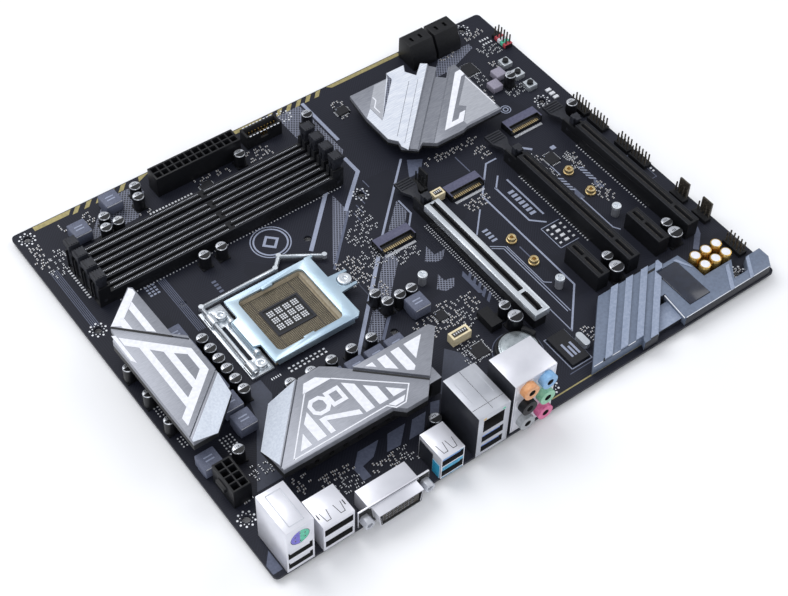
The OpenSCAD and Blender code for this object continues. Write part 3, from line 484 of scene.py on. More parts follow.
def new_tree(name, inputs):
    """An empty tree with named inputs; each input is (label, socket type, default)."""
    tree = bpy.data.node_groups.new(name, "GeometryNodeTree")
    tree.is_modifier = True
    face = tree.interface
    face.new_socket("Geometry", in_out="INPUT", socket_type="NodeSocketGeometry")
    for label, kind, default in inputs:
        made = face.new_socket(label, in_out="INPUT", socket_type=kind)
        if default is not None:
            made.default_value = default
    face.new_socket("Geometry", in_out="OUTPUT", socket_type="NodeSocketGeometry")
    start, end = tree.nodes.new("NodeGroupInput"), tree.nodes.new("NodeGroupOutput")
    return tree, start, end


def product(tree, a, b, operation="MULTIPLY"):
    """The result of one sum on two sockets or numbers."""
    node = tree.nodes.new("ShaderNodeMath")
    node.operation = operation
    for slot_index, value in enumerate((a, b)):
        if isinstance(value, (int, float)):
            node.inputs[slot_index].default_value = value
        else:
            tree.links.new(value, node.inputs[slot_index])
    return node.outputs[0]


def rows_tree(round_pegs):
    """Rows and columns of square or round pegs round every point, each set turned by its point's angle."""
    sizes = [("Columns", "NodeSocketInt", 2), ("Rows", "NodeSocketInt", 2),
             ("Column pitch", "NodeSocketFloat", 0.001), ("Row pitch", "NodeSocketFloat", 0.001),
             ("Width", "NodeSocketFloat", 0.0005), ("Depth", "NodeSocketFloat", 0.0005),
             ("Height", "NodeSocketFloat", 0.001), ("Sides", "NodeSocketInt", 8),
             ("Finish", "NodeSocketMaterial", None)]
    tree, start, end = new_tree("Round rows" if round_pegs else "Block rows", sizes)
    nodes, links, ask = tree.nodes, tree.links, start.outputs
    grid = nodes.new("GeometryNodeMeshGrid")
    for label, pitch, side, count in (("Columns", "Column pitch", 0, 2), ("Rows", "Row pitch", 1, 3)):
        links.new(product(tree, product(tree, ask[label], 1.0, "SUBTRACT"), ask[pitch]), grid.inputs[side])
        links.new(ask[label], grid.inputs[count])
    if round_pegs:
        peg = nodes.new("GeometryNodeMeshCylinder")
        links.new(ask["Sides"], peg.inputs["Vertices"])
        links.new(ask["Width"], peg.inputs["Radius"])
        links.new(ask["Height"], peg.inputs["Depth"])
    else:
        peg = nodes.new("GeometryNodeMeshCube")
        size = nodes.new("ShaderNodeCombineXYZ")
        for label, axis in (("Width", "X"), ("Depth", "Y"), ("Height", "Z")):
            links.new(ask[label], size.inputs[axis])
        links.new(size.outputs[0], peg.inputs["Size"])
    lift = nodes.new("GeometryNodeTransform")
    rise = nodes.new("ShaderNodeCombineXYZ")
    links.new(product(tree, ask["Height"], 0.5), rise.inputs["Z"])
    links.new(peg.outputs["Mesh"], lift.inputs["Geometry"])
    links.new(rise.outputs[0], lift.inputs["Translation"])
    inner = nodes.new("GeometryNodeInstanceOnPoints")
    links.new(grid.outputs["Mesh"], inner.inputs["Points"])
    links.new(lift.outputs[0], inner.inputs["Instance"])
    turn = nodes.new("GeometryNodeInputNamedAttribute")
    turn.data_type = "FLOAT_VECTOR"
    turn.inputs["Name"].default_value = "turn"
    angle = nodes.new("FunctionNodeEulerToRotation")
    links.new(turn.outputs["Attribute"], angle.inputs[0])
    outer = nodes.new("GeometryNodeInstanceOnPoints")
    links.new(ask["Geometry"], outer.inputs["Points"])
    links.new(inner.outputs[0], outer.inputs["Instance"])
    links.new(angle.outputs[0], outer.inputs["Rotation"])
    real = nodes.new("GeometryNodeRealizeInstances")
    links.new(outer.outputs[0], real.inputs[0])
    painted = nodes.new("GeometryNodeSetMaterial")
    links.new(real.outputs[0], painted.inputs["Geometry"])
    links.new(ask["Finish"], painted.inputs["Material"])
    links.new(painted.outputs[0], end.inputs[0])
    return tree


def scatter_tree():
    """Small box-shaped parts with bright ends, spread over flat patches at a least spacing."""
    sizes = [("Spacing", "NodeSocketFloat", 0.002), ("Density", "NodeSocketFloat", 250000.0),
             ("Seed", "NodeSocketInt", 3), ("Length", "NodeSocketFloat", 0.0016),
             ("Width", "NodeSocketFloat", 0.0008), ("Height", "NodeSocketFloat", 0.0006),
             ("Body finish", "NodeSocketMaterial", None), ("End finish", "NodeSocketMaterial", None)]
    tree, start, end = new_tree("Scattered parts", sizes)
    nodes, links, ask = tree.nodes, tree.links, start.outputs
    spread = nodes.new("GeometryNodeDistributePointsOnFaces")
    spread.distribute_method = "POISSON"
    links.new(ask["Geometry"], spread.inputs["Mesh"])
    links.new(ask["Spacing"], spread.inputs["Distance Min"])
    links.new(ask["Density"], spread.inputs["Density Max"])
    links.new(ask["Seed"], spread.inputs["Seed"])

    def cube(width, depth, height, shift):
        size, place = nodes.new("ShaderNodeCombineXYZ"), nodes.new("ShaderNodeCombineXYZ")
        for value, axis in ((width, "X"), (depth, "Y"), (height, "Z")):
            links.new(value, size.inputs[axis])
        links.new(shift, place.inputs["X"])
        links.new(product(tree, height, 0.5), place.inputs["Z"])
        shape, move = nodes.new("GeometryNodeMeshCube"), nodes.new("GeometryNodeTransform")
        links.new(size.outputs[0], shape.inputs["Size"])
        links.new(shape.outputs["Mesh"], move.inputs["Geometry"])
        links.new(place.outputs[0], move.inputs["Translation"])
        return move.outputs[0]

    nothing = product(tree, ask["Length"], 0.0)
    middle = cube(product(tree, ask["Length"], 0.5), product(tree, ask["Width"], 0.94), ask["Height"],
                  nothing)
    ends = nodes.new("GeometryNodeJoinGeometry")
    for side in (-0.375, 0.375):
        links.new(cube(product(tree, ask["Length"], 0.25), ask["Width"], product(tree, ask["Height"], 1.06),
                       product(tree, ask["Length"], side)), ends.inputs[0])
    marked = nodes.new("GeometryNodeStoreNamedAttribute")
    marked.data_type = "BOOLEAN"
    marked.domain = "FACE"
    marked.inputs["Name"].default_value = "is_end"
    marked.inputs["Value"].default_value = True
    links.new(ends.outputs[0], marked.inputs["Geometry"])
    part = nodes.new("GeometryNodeJoinGeometry")
    links.new(middle, part.inputs[0])
    links.new(marked.outputs[0], part.inputs[0])
    quarter = nodes.new("FunctionNodeRandomValue")
    quarter.data_type = "INT"
    quarter.inputs[4].default_value, quarter.inputs[5].default_value = 0, 1
    links.new(ask["Seed"], quarter.inputs["Seed"])
    spin, angle = nodes.new("ShaderNodeCombineXYZ"), nodes.new("FunctionNodeEulerToRotation")
    links.new(product(tree, quarter.outputs[2], math.pi / 2), spin.inputs["Z"])
    links.new(spin.outputs[0], angle.inputs[0])
    outer = nodes.new("GeometryNodeInstanceOnPoints")
    links.new(spread.outputs["Points"], outer.inputs["Points"])
    links.new(part.outputs[0], outer.inputs["Instance"])
    links.new(angle.outputs[0], outer.inputs["Rotation"])
    real = nodes.new("GeometryNodeRealizeInstances")
    links.new(outer.outputs[0], real.inputs[0])
    first, last = nodes.new("GeometryNodeSetMaterial"), nodes.new("GeometryNodeSetMaterial")
    links.new(real.outputs[0], first.inputs["Geometry"])
    links.new(ask["Body finish"], first.inputs["Material"])
    is_end = nodes.new("GeometryNodeInputNamedAttribute")
    is_end.data_type = "BOOLEAN"
    is_end.inputs["Name"].default_value = "is_end"
    links.new(first.outputs[0], last.inputs["Geometry"])
    links.new(is_end.outputs["Attribute"], last.inputs["Selection"])
    links.new(ask["End finish"], last.inputs["Material"])
    links.new(last.outputs[0], end.inputs[0])
    return tree


TREES = {}


def tree_of(name):
    """A tree by its name, made the first time it is asked for."""
    if name not in TREES:
        TREES[name] = {"blocks": lambda: rows_tree(False), "rounds": lambda: rows_tree(True),
                       "scatter": scatter_tree}[name]()
    return TREES[name]


def grow(tree_name, seed_mesh, values):
    """Runs a tree on a mesh and returns the plain mesh it makes."""
    tree = tree_of(tree_name)
    seed = bpy.data.objects.new("seed", seed_mesh)
    bpy.context.scene.collection.objects.link(seed)
    grown = seed.modifiers.new("tree", "NODES")
    grown.node_group = tree
    for item in tree.interface.items_tree:
        if item.item_type == "SOCKET" and item.in_out == "INPUT" and item.name in values:
            grown[item.identifier] = values[item.name]
    seed.update_tag()
    shape = seed.evaluated_get(bpy.context.evaluated_depsgraph_get())
    mesh = bpy.data.meshes.new_from_object(shape)
    seed.modifiers.remove(grown)
    bpy.data.objects.remove(seed)
    bpy.data.meshes.remove(seed_mesh)
    return mesh


def rows(places, columns, count, pitch_x, pitch_y, width, depth, height, finish, turn=0.0, rounds=False,
         sides=8):
    """Rows of pegs, in board millimetres, with the middle of each set at a place."""
    seed = bpy.data.meshes.new("places")
    seed.from_pydata([at(*p) for p in places], [], [])
    turned = seed.attributes.new("turn", "FLOAT_VECTOR", "POINT")
    for held in turned.data:
        held.vector = (0, 0, math.radians(turn))
    return grow("rounds" if rounds else "blocks", seed, {
        "Columns": columns, "Rows": count, "Column pitch": pitch_x * MM, "Row pitch": pitch_y * MM,
        "Width": width * MM, "Depth": depth * MM, "Height": height * MM, "Sides": sides,
        "Finish": finish_of(finish)})


def scatter(patches, seed, spacing=2.0, density=400000.0, length=1.4, width=0.75, height=0.55, body="ceramic",
            ends="solder"):
    """Small parts spread over patches given as (x0, y0, x1, y1) in board millimetres."""
    ground = bpy.data.meshes.new("patches")
    points, faces = [], []
    for x0, y0, x1, y1 in patches:
        faces.append(tuple(range(len(points), len(points) + 4)))
        points += [at(x0, y0), at(x1, y0), at(x1, y1), at(x0, y1)]
    ground.from_pydata(points, [], faces)
    return grow("scatter", ground, {
        "Spacing": spacing * MM, "Density": density, "Seed": seed, "Length": length * MM, "Width": width * MM,
        "Height": height * MM, "Body finish": finish_of(body), "End finish": finish_of(ends)})


# ---------------------------------------------------------------- settings

class MotherboardLooks(bpy.types.PropertyGroup):
    """Colours of the board and of its painted parts"""
    mask: bpy.props.FloatVectorProperty(
        name="Solder mask", description="Colour of the laminate's solder mask", subtype="COLOR",
        default=tone("191b25")[:3], min=0, max=1)
    marking: bpy.props.FloatVectorProperty(
        name="Marking", description="Colour of the printed lines", subtype="COLOR",
        default=tone("98a0b6")[:3], min=0, max=1)
    stripe: bpy.props.FloatVectorProperty(
        name="Stripe", description="Colour of the stripes painted on the heatsinks", subtype="COLOR",
        default=tone("eceef5")[:3], min=0, max=1)
    heatsink: bpy.props.FloatVectorProperty(
        name="Heatsink", description="Colour of the brushed heatsinks", subtype="COLOR",
        default=tone("999ca5")[:3], min=0, max=1)
    shroud: bpy.props.FloatVectorProperty(
        name="Audio shroud", description="Colour of the moulded cover over the audio corner", subtype="COLOR",
        default=tone("707c91")[:3], min=0, max=1)


class MotherboardSizes(bpy.types.PropertyGroup):
    """Sizes of the small detail"""
    marking_height: bpy.props.FloatProperty(
        name="Marking height", description="Thickness of the printed lines", unit="LENGTH",
        default=0.00004, min=0.00002, max=0.0001)
    memory_pitch: bpy.props.FloatProperty(
        name="Memory contact pitch", description="Distance between a memory slot's contacts", unit="LENGTH",
        default=0.00085, min=0.0005, max=0.002)
    card_pitch: bpy.props.FloatProperty(
        name="Card contact pitch", description="Distance between an expansion slot's contacts", unit="LENGTH",
        default=0.001, min=0.0005, max=0.002)
    field_pitch: bpy.props.FloatProperty(
        name="Processor contact pitch", description="Distance between the processor socket's contacts",
        unit="LENGTH", default=0.00091, min=0.0008, max=0.002)
    part_spacing: bpy.props.FloatProperty(
        name="Part spacing", description="Least distance between the smallest parts", unit="LENGTH",
        default=0.0017, min=0.0012, max=0.005)


def sizes():
    """The scene's size settings."""
    return bpy.context.scene.motherboard_sizes


# ---------------------------------------------------------------- laminate

HOLES = [(6.35, 33.02), (6.35, 165.1), (6.35, 237.49), (163.83, 10.16), (163.83, 165.1), (163.83, 237.49),
         (288.29, 10.16), (288.29, 165.1), (288.29, 237.49)]

# Printed lines on the laminate: finish, width, points
LINES = [
    ("marking", 1.0, [(195, 30.5), (215.5, 52.5), (215.5, 127), (232, 144.6), (239, 144.6)]),
    ("marking", 0.5, [(196.6, 97), (202.8, 92.4), (202.8, 40.6)]),
    ("marking", 0.5, [(196.4, 95.4), (201.4, 91.6), (201.4, 41)]),
    ("marking", 0.5, [(203.8, 92), (203.8, 62.6), (207, 60)]),
    ("marking", 0.8, [(196, 107), (208.6, 120.2)]),
    ("marking", 1.0, [(224.8, 128), (224.8, 99.4), (231.4, 93.2)]),
    ("marking", 0.9, [(224.8, 127), (231.6, 134)]),
    ("marking", 1.1, [(233.8, 98.5), (233.8, 129)]),
    ("marking", 0.7, [(259.6, 67), (257.4, 70.4), (257.4, 96)]),
    ("marking", 1.5, [(254.6, 143.6), (259.4, 138.6)]),
    ("marking", 0.6, [(259.4, 115), (259.4, 126)]),
    ("marking", 0.5, [(195, 30), (195, 48.4), (189, 48.4)]),
    ("marking", 2.0, [(100.6, 79), (146, 124.6)]),
    ("slate_marking_and_shade", 1.6, [(116, 79.6), (131, 93.4)]),
    ("marking", 2.2, [(120, 147.4), (151, 178)]),
    ("slate_marking_and_shade", 1.4, [(122.6, 130.4), (152, 159.4)]),
    ("marking", 1.2, [(155.4, 134.4), (196.8, 173.8)]),
    ("marking", 2.2, [(150.6, 160), (172.4, 179.6), (172.4, 192)]),
    ("marking", 2.0, [(177.6, 205), (177.6, 240)]),
    ("marking", 1.0, [(170, 131), (177.4, 139), (177.4, 150)]),
    ("slate_marking_and_shade", 3.0, [(282, 34), (290.4, 41.6), (292.4, 45.6)]),
    ("marking", 0.5, [(179.6, 12.2), (179.6, 33.4), (192.2, 33.4), (192.2, 12.2), (179.9, 12.2)]),
    ("slate_marking_and_shade", 0.4, [(176.8, 10.4), (194.6, 10.4)]),
    ("slate_marking_and_shade", 0.7, [(209, 75), (209, 88)]),
    ("marking", 0.4, [(225.8, 75), (238, 75)]), ("marking", 0.4, [(225.8, 91), (238, 91)]),
    ("marking", 0.4, [(225.8, 75), (225.8, 91)]),
    ("gold_marking", 0.7, [(160, 4.2), (219, 4.2)]),
    ("slate_marking_and_shade", 0.6, [(221.4, 145), (221.4, 158)]),
    ("deep_marking", 0.5, [(112, 86), (127, 101), (127, 116)]),
    ("slate_marking_and_shade", 0.4, [(296, 84.6), (301, 84.6), (301, 97)]),
    ("slate_marking_and_shade", 0.6, [(297, 105), (301.4, 105), (301.4, 110.4), (298.4, 110.4)]),
]

# Printed areas on the laminate: finish, outline
AREAS = [
    ("gold_marking", [(12.4, 240.4), (32, 240.4), (34.6, 243.4), (12.4, 243.4)]),
    ("gold_marking", [(134.4, 240.8), (150.6, 240.8), (153.4, 243.4), (134.4, 243.4)]),
    ("gold_marking", [(198.6, 241), (246, 241), (246, 243.4), (196, 243.4)]),
    ("gold_marking", [(73.6, 240), (82, 243.4), (75, 243.4)]),
    ("slate_marking_and_shade", [(0.4, 2.6), (5.4, 2.6), (5.4, 14), (0.4, 8)]),
    ("slate_marking_and_shade", [(60.6, 19), (65, 19), (65, 25.6), (72, 27), (79.4, 33.4), (67.6, 33.4), (60.6, 26.6)]),
    ("slate_marking_and_shade", [(78.6, 25.4), (86, 25), (95, 33.6), (84.8, 33.6)]),
    ("slate_marking_and_shade", [(91, 25), (99.6, 25), (107, 33.4), (99, 33.4)]),
    ("slate_marking_and_shade", [(106.6, 29.6), (111.4, 29), (116.4, 35), (112, 36.4)]),
    ("deep_marking", [(18, 42), (32, 42), (33, 52), (54, 84), (54, 94), (45, 94), (40, 76)]),
    ("deep_marking", [(120, 24), (128, 27), (143, 43), (143, 50), (137, 58), (119, 38)]),
    ("mesh_marking", [(105, 80), (115, 80), (153, 117), (153, 127.6)]),
    ("mesh_marking", [(124, 133.6), (127, 133.6), (151.4, 158.6), (151.4, 173)]),
    ("mesh_marking", [(157.4, 133), (168.6, 133), (176.4, 141), (176.4, 150.6)]),
    ("mesh_marking", [(151.6, 176), (158, 181), (175.4, 197), (175.4, 239.4), (160, 239.4), (160, 190),
                      (151.6, 180)]),
    ("mesh_marking", [(31, 218), (60, 218), (72, 232), (72, 239), (52, 239)]),
    ("slate_marking_and_shade", [(192, 160), (199.6, 160), (206.4, 167), (199, 171.4)]),
    ("slate_marking_and_shade", [(172.6, 76), (175, 74), (175, 92), (172.6, 89.6)]),
    ("slate_marking_and_shade", [(255.8, 95), (259.6, 95), (259.6, 104), (255.8, 99)]),
    ("slate_marking_and_shade", [(270, 95), (273, 95), (273, 104), (270, 100)]),
    ("mesh_marking", [(163, 108), (170, 116), (170, 109), (177, 109), (171.6, 104.4), (168, 104.4)]),
    ("mesh_marking", [(157, 90), (163.4, 97.6), (163.6, 92.6), (169, 91), (165, 86.4), (160, 86.4)]),
    ("marking", [(268, 134.6), (271, 134.6), (271, 132), (268, 132)]),
    ("mesh_marking", [(250, 214), (262, 214), (284, 222), (284, 226), (262, 226)]),
]


# How far the printed marks reach into the laminate
SUNK = -0.01


class MOTHERBOARD_OT_laminate(bpy.types.Operator):
    """Laminate with its solder mask, printed marks, dotted rows and the pads round its holes"""
    bl_idname = "motherboard.laminate"
    bl_label = "Laminate"

    def execute(self, context):
        repaint("board", "solder_mask")
        high = sizes().marking_height / MM
        marks = Piece("printed_marks", "marking", "slate_marking_and_shade", "deep_marking", "mesh_marking",
                      "gold_marking", "bright_marking")
        layers = {"deep_marking": 0.3, "mesh_marking": 0.5, "slate_marking_and_shade": 0.7, "gold_marking": 0.8}
        for finish, outline in AREAS:
            marks.prism(outline, SUNK, high * layers.get(finish, 1.0), finish)
        for finish, width, points in LINES:
            marks.stroke(points, width, SUNK, high * (1.1 if finish == "marking" else 0.9), finish)
        for x in (38, 44.8, 51.6, 58.4, 65.2, 158, 164.4, 170.8, 177.2, 183.6, 190):
            marks.prism([(x - 4.4, 239.4), (x - 1.4, 239.4), (x + 2.4, 243.4), (x - 0.6, 243.4)], SUNK, high,
                        "gold_marking")
        for k in range(5):
            marks.stroke([(5 + 0.9 * k, 168), (5 + 0.9 * k, 211)], 0.4, SUNK, high, "slate_marking_and_shade")
            marks.stroke([(46 + 0.9 * k, 136), (46 + 0.9 * k, 175)], 0.4, SUNK, high, "slate_marking_and_shade")
            marks.stroke([(153 + 4.4 * k, 150 + 4.2 * k), (153 + 4.4 * k, 156 + 4.2 * k)], 0.5, SUNK, high,
                         "slate_marking_and_shade")
            for x in (256, 270.4):
                marks.prism([(x, 104 + 2.4 * k), (x + 3, 101.6 + 2.4 * k), (x + 3, 102.8 + 2.4 * k),
                             (x, 105.2 + 2.4 * k)], SUNK, high, "marking")
            marks.prism([(173, 68 + 4 * k), (178, 72 + 4 * k), (178, 74 + 4 * k), (173, 70 + 4 * k)], SUNK,
                        high, "slate_marking_and_shade")
        # a plain round mark, with a diamond in place of a letter
        marks.ring((106.6, 164.4), 10.8, 10.2, SUNK, high, 64, "marking")
        marks.ring((106.6, 164.4), 9.3, 8.4, SUNK, high, 64, "marking")
        marks.stroke([(102.4, 164.4), (106.6, 168.6), (110.8, 164.4), (106.6, 160.2)], 1.4, SUNK, high,
                     "marking", True)
        marks.ring((267.2, 171.2), 3.1, 2.6, SUNK, high, 32, "marking")
        marks.ring((267.2, 171.2), 1.7, 1.1, SUNK, high, 32, "marking")
        marks.ring((165, 35.5), 12.9, 12.5, SUNK, high, 48, "slate_marking_and_shade")
        # plain bars where labels stand
        for k in range(7):
            marks.block((228, 101.6 + 3 * k, SUNK), (231.6, 103.4 + 3 * k, high), "marking")
        for k in range(4):
            for j in range(3):
                marks.block((38 + 2.1 * j, 168.2 + 2 * k, SUNK), (39.4 + 2.1 * j, 169.3 + 2 * k, high),
                            "marking")
            marks.block((67.4, 150.6 + 2.4 * k, SUNK), (69.8, 152 + 2.4 * k, high), "slate_marking_and_shade")
            marks.block((199.6, 98.4 + 2.6 * k, SUNK), (203, 99.8 + 2.6 * k, high), "marking")
        marks.done()

        dots = Piece("solder_dots", "solder")
        dots.rows([(91.6, 175.4)], 71, 1, 1.9, 1, 0.4, 0.3, 0.12, "solder", rounds=True, sides=6)
        for x in (240.6, 280.9):
            dots.rows([(x, 99)], 1, 31, 1, 1.85, 0.9, 0.55, 0.15, "solder")
        dots.rows([(178.4, 95)], 2, 44, 1.6, 1.5, 0.75, 0.5, 0.15, "solder")
        dots.rows([(79, 90.6)], 9, 2, 2.5, 2.2, 1.2, 0.9, 0.3, "solder")
        dots.rows([(61, 91)], 5, 1, 1.2, 1, 0.5, 1.2, 0.1, "solder")
        dots.rows([(13.4, 196)], 1, 12, 1, 1.9, 1.4, 0.8, 0.2, "solder")
        dots.rows([(79, 216.4)], 14, 1, 1.9, 1, 1.0, 1.2, 0.3, "solder")
        dots.rows([(22.4, 71)], 4, 6, 1.9, 1.9, 0.5, 0.5, 0.12, "solder", rounds=True, sides=6)
        dots.rows([(6, 85), (6, 106)], 3, 4, 1.8, 1.8, 0.45, 0.5, 0.12, "solder", rounds=True, sides=6)
        dots.rows([(232, 83)], 1, 4, 1, 3.5, 2.6, 1.6, 0.7, "solder")
        dots.rows([(228, 83), (236.6, 83)], 1, 4, 1, 3.5, 1.4, 1.1, 0.4, "solder")
        dots.rows([(302.4, 93)], 1, 5, 1, 2.2, 1.2, 1.0, 0.2, "solder")
        dots.rows([(296.4, 166)], 1, 3, 1, 3.3, 3.2, 2.0, 0.9, "solder")
        dots.rows([(293.5, 222)], 4, 2, 1.8, 3.4, 0.9, 1.4, 0.2, "solder")
        stars = [(hx + 4.1 * math.cos(math.radians(40 * k)), hy + 4.1 * math.sin(math.radians(40 * k)))
                 for hx, hy in HOLES for k in range(9)]
        dots.rows(stars, 1, 1, 1, 1, 0.55, 0.5, 0.12, "solder", rounds=True, sides=8)
        near = [(hx + 2.9 * math.cos(math.radians(40 * k + 20)),
                 hy + 2.9 * math.sin(math.radians(40 * k + 20)))
                for hx, hy in HOLES for k in range(9)]
        dots.rows(near, 1, 1, 1, 1, 0.32, 0.5, 0.1, "solder", rounds=True, sides=6)
        dots.done()
        return {"FINISHED"}


# Patches of the smallest parts: seed, body finish, patches
CLUSTERS = [
    (3, "ceramic", [(33, 29, 41, 38), (43, 26, 61, 32), (67, 17, 82, 24), (132, 66, 150, 78),
                    (129, 101, 138, 112),
                    (122, 114, 136, 133), (62, 218, 68, 223), (130, 217, 144, 225), (150, 60, 156, 84)]),
    (7, "chip_epoxy", [(43, 17.6, 61, 25), (20, 47, 34, 55), (83, 13, 89, 24), (140, 42, 156, 55),
                       (137, 119, 155, 132),
                       (139, 134, 151, 148), (4, 206, 17, 212), (9, 214, 18, 223), (157, 62, 161, 80)]),
    (11, "ceramic", [(2, 214, 9, 231), (23, 230, 26, 236), (36, 228, 42, 236), (97, 221, 107, 224),
                     (110, 219, 118, 223),
                     (189, 217, 196, 231), (205, 160.6, 240, 165), (231, 148, 239, 157),
                     (203, 121, 219, 128)]),
    (19, "chip_epoxy", [(150, 141, 159, 158), (151, 113, 165, 121), (253, 113, 258, 124),
                        (268, 113, 274, 126),
                        (268, 194, 274, 204), (276, 176, 287, 183), (283, 159, 287, 163),
                        (285, 210, 297, 219)]),
    (23, "ceramic", [(196.6, 19, 205, 29), (266, 86, 274, 100), (284.6, 8.4, 291.6, 12.6),
                     (262, 222.6, 275, 226),
                     (283, 200, 286, 208), (285, 228, 298, 233), (271, 112, 276, 124), (254, 128, 259, 136),
                     (236, 176, 240, 177), (262, 176, 267, 200), (162.4, 66, 169, 80), (8, 40, 18, 41)]),
]


class MOTHERBOARD_OT_small_parts(bpy.types.Operator):
    """Resistors and other parts of about a millimetre, in patches over the laminate"""
    bl_idname = "motherboard.small_parts"
    bl_label = "Small parts"

    def execute(self, context):
        parts = Piece("small_parts", "ceramic", "chip_epoxy", "solder")
        for seed, body, patches in CLUSTERS:
            parts.add_mesh(scatter(patches, seed, sizes().part_spacing / MM, body=body))
        parts.done()
        return {"FINISHED"}


# ---------------------------------------------------------------- processor socket

class MOTHERBOARD_OT_socket(bpy.types.Operator):
    """Processor socket: moulding, contact field, hinge strap, load plate, lever, screws and backplate"""
    bl_idname = "motherboard.socket"
    bl_label = "Processor socket"

    def execute(self, context):
        soften("socket_housing", ["tan_moulding"], width=0.2)
        soften("socket_hinge_frame", ["bright_steel"], width=0.25, segments=2)
        soften("socket_load_plate", ["blue_steel"], "load_plate", width=0.35, segments=2)
        soften("socket_load_lever", ["bright_steel"], "load_lever", width=0.0)
        soften("socket_screws", ["bright_steel"], width=0.3, segments=2)
        repaint("socket_backplate", "dull_zinc")
        field = Piece("contact_field", "contact_field", "field_pins", "charcoal_moulding", "solder",
                      "dark_hollow")
        cx, cy, low = 86, 118, 2.2
        field.block((cx - 17.8, cy - 17.8, low), (cx + 17.8, cy + 17.8, low + 0.3), "contact_field")
        pitch = sizes().field_pitch / MM
        # half the field, and half the opening in its middle each way
        half, hole_x, hole_y = 17.5, 11.4, 9.4
        side = int(2 * half / pitch)
        edge = int((half - hole_x) / pitch)
        deep = int((half - hole_y) / pitch)
        band = (half + hole_x) / 2
        sets = [((cx - band, cy, low + 0.3), edge, side), ((cx + band, cy, low + 0.3), edge, side),
                ((cx, cy - (half + hole_y) / 2, low + 0.3), int(22 / pitch), deep),
                ((cx, cy + (half + hole_y) / 2, low + 0.3), int(22 / pitch), deep)]
        for place, columns, count in sets:
            field.rows([place], columns, count, pitch, pitch, 0.42, 0.3, 0.22, "field_pins")
        for a, b in (((-11.2, -9), (11.2, -7.9)), ((-11.2, 7.9), (11.2, 9)), ((-11.2, -7.9), (-9.9, 7.9)),
                     ((9.9, -7.9), (11.2, 7.9))):
            field.block((cx + a[0], cy + a[1], low), (cx + b[0], cy + b[1], low + 0.75), "charcoal_moulding")
        # painted shade over the open middle of the field
        field.block((cx - 10, cy - 8, low + 0.25), (cx + 10, cy + 8, low + 0.4), "dark_hollow")
        field.rows([(cx + dx, cy + dy, low + 0.4) for dx in (-7, -2.4, 2.4, 7) for dy in (-4.6, 0, 4.6)], 3,
                   3, 1.25, 1.25, 0.8, 0.75, 0.4, "solder")
        field.done(replaces=["socket_contacts"])
        return {"FINISHED"}


# ---------------------------------------------------------------- slots

def memory_y(i):
    """The line of a memory slot, counted from 1."""
    return 179.6 + 8.8 * (i - 1)


class MOTHERBOARD_OT_memory(bpy.types.Operator):
    """Memory slots with their rows of contacts and the latches at both ends"""
    bl_idname = "motherboard.memory"
    bl_label = "Memory slots"

    def execute(self, context):
        for i in range(1, 5):
            soften(f"memory_slot_{i}", ["black_moulding"], width=0.12)
            for side in ("left", "right"):
                name = f"memory_latch_{side}_{i}"
                soften(name, ["charcoal_moulding"], name, width=0.25, segments=2)
        pitch = sizes().memory_pitch / MM
        repaint("slot_contacts", "pin_metal")
        teeth = Piece("memory_contacts", "soft_nickel", "charcoal_moulding")
        count_a, count_b = int(68 / pitch), int(59.5 / pitch)
        for s in (-1, 1):
            for middle, count in ((57, count_a), (123.4, count_b)):
                teeth.rows([(middle, memory_y(i) + s * 1.75, 7.9) for i in range(1, 5)], count, 1, pitch, 1,
                           0.38, 0.6, 0.2, "soft_nickel")
        for i in range(1, 5):
            for s in (-1, 1):
                y = memory_y(i) + s * 3.1
                teeth.block((22, y - 0.16, 7.8), (153.2, y + 0.16, 8.12), "charcoal_moulding")
                y = memory_y(i) + s * 2.6
                teeth.block((23, y - 0.1, 7.8), (152, y + 0.1, 8.1), "charcoal_moulding")
        teeth.done()
        return {"FINISHED"}


SLOT_X = {k: 184 + 20.32 * k for k in (0, 2, 3, 4, 5)}


class MOTHERBOARD_OT_card_slots(bpy.types.Operator):
    """Expansion slots with their contacts, the steel frame of the first one and the card latches"""
    bl_idname = "motherboard.card_slots"
    bl_label = "Expansion slots"

    def execute(self, context):
        for node in ("armoured_slot", "long_slots", "short_slots"):
            soften(node, ["black_moulding"], width=0.15)
        soften("slot_armour", ["bright_steel"], width=0.18, segments=2)
        for i in (1, 2, 3):
            soften(f"card_latch_{i}", ["charcoal_moulding"], f"card_latch_{i}", width=0.3, segments=2)
        pitch = sizes().card_pitch / MM
        teeth = Piece("card_contacts", "pin_metal", "charcoal_moulding", "dark_hollow")
        # near-black strips beside the armoured slot's groove: painted shade
        for s in (-1, 1):
            x = SLOT_X[0] + s * 1.35
            teeth.block((x - 0.4, 45, 11.6), (x + 0.4, 55.4, 11.84), "dark_hollow")
            teeth.block((x - 0.4, 58.6, 11.6), (x + 0.4, 130, 11.84), "dark_hollow")
        for k, length in ((3, 89), (5, 89), (2, 25), (4, 25)):
            long_part = length - 15.3 - 3
            for s in (-1, 1):
                x = SLOT_X[k] + s * 1.4
                teeth.rows([(x, 42.1 + 8.2, 11.15)], 1, int(11 / pitch), 1, pitch, 0.4, 0.5, 0.16,
                           "pin_metal")
                teeth.rows([(x, 42.1 + 16.6 + long_part / 2, 11.15)], 1, int(long_part / pitch), 1, pitch,
                           0.4, 0.5, 0.16, "pin_metal")
                edge = SLOT_X[k] + s * 3.45
                teeth.block((edge - 0.18, 43, 11.1), (edge + 0.18, 42 + length, 11.42), "charcoal_moulding")
                rail = SLOT_X[k] + s * 2.3
                teeth.block((rail - 0.12, 43, 11.1), (rail + 0.12, 42 + length, 11.36), "charcoal_moulding")
        for s in (-1, 1):
            x = SLOT_X[0] + s * 1.25
            teeth.rows([(x, 94, 9.6)], 1, int(70 / pitch), 1, pitch, 0.5, 0.5, 0.5, "pin_metal")
            teeth.rows([(x, 50, 9.6)], 1, int(11 / pitch), 1, pitch, 0.5, 0.5, 0.5, "pin_metal")
        teeth.done()
        return {"FINISHED"}


SPARES = [(208, 93.6), (208, 75.6), (264, 114), (264, 96)]
STORAGE = [(158.2, 123.6), (210.4, 132.5), (267, 152.9)]


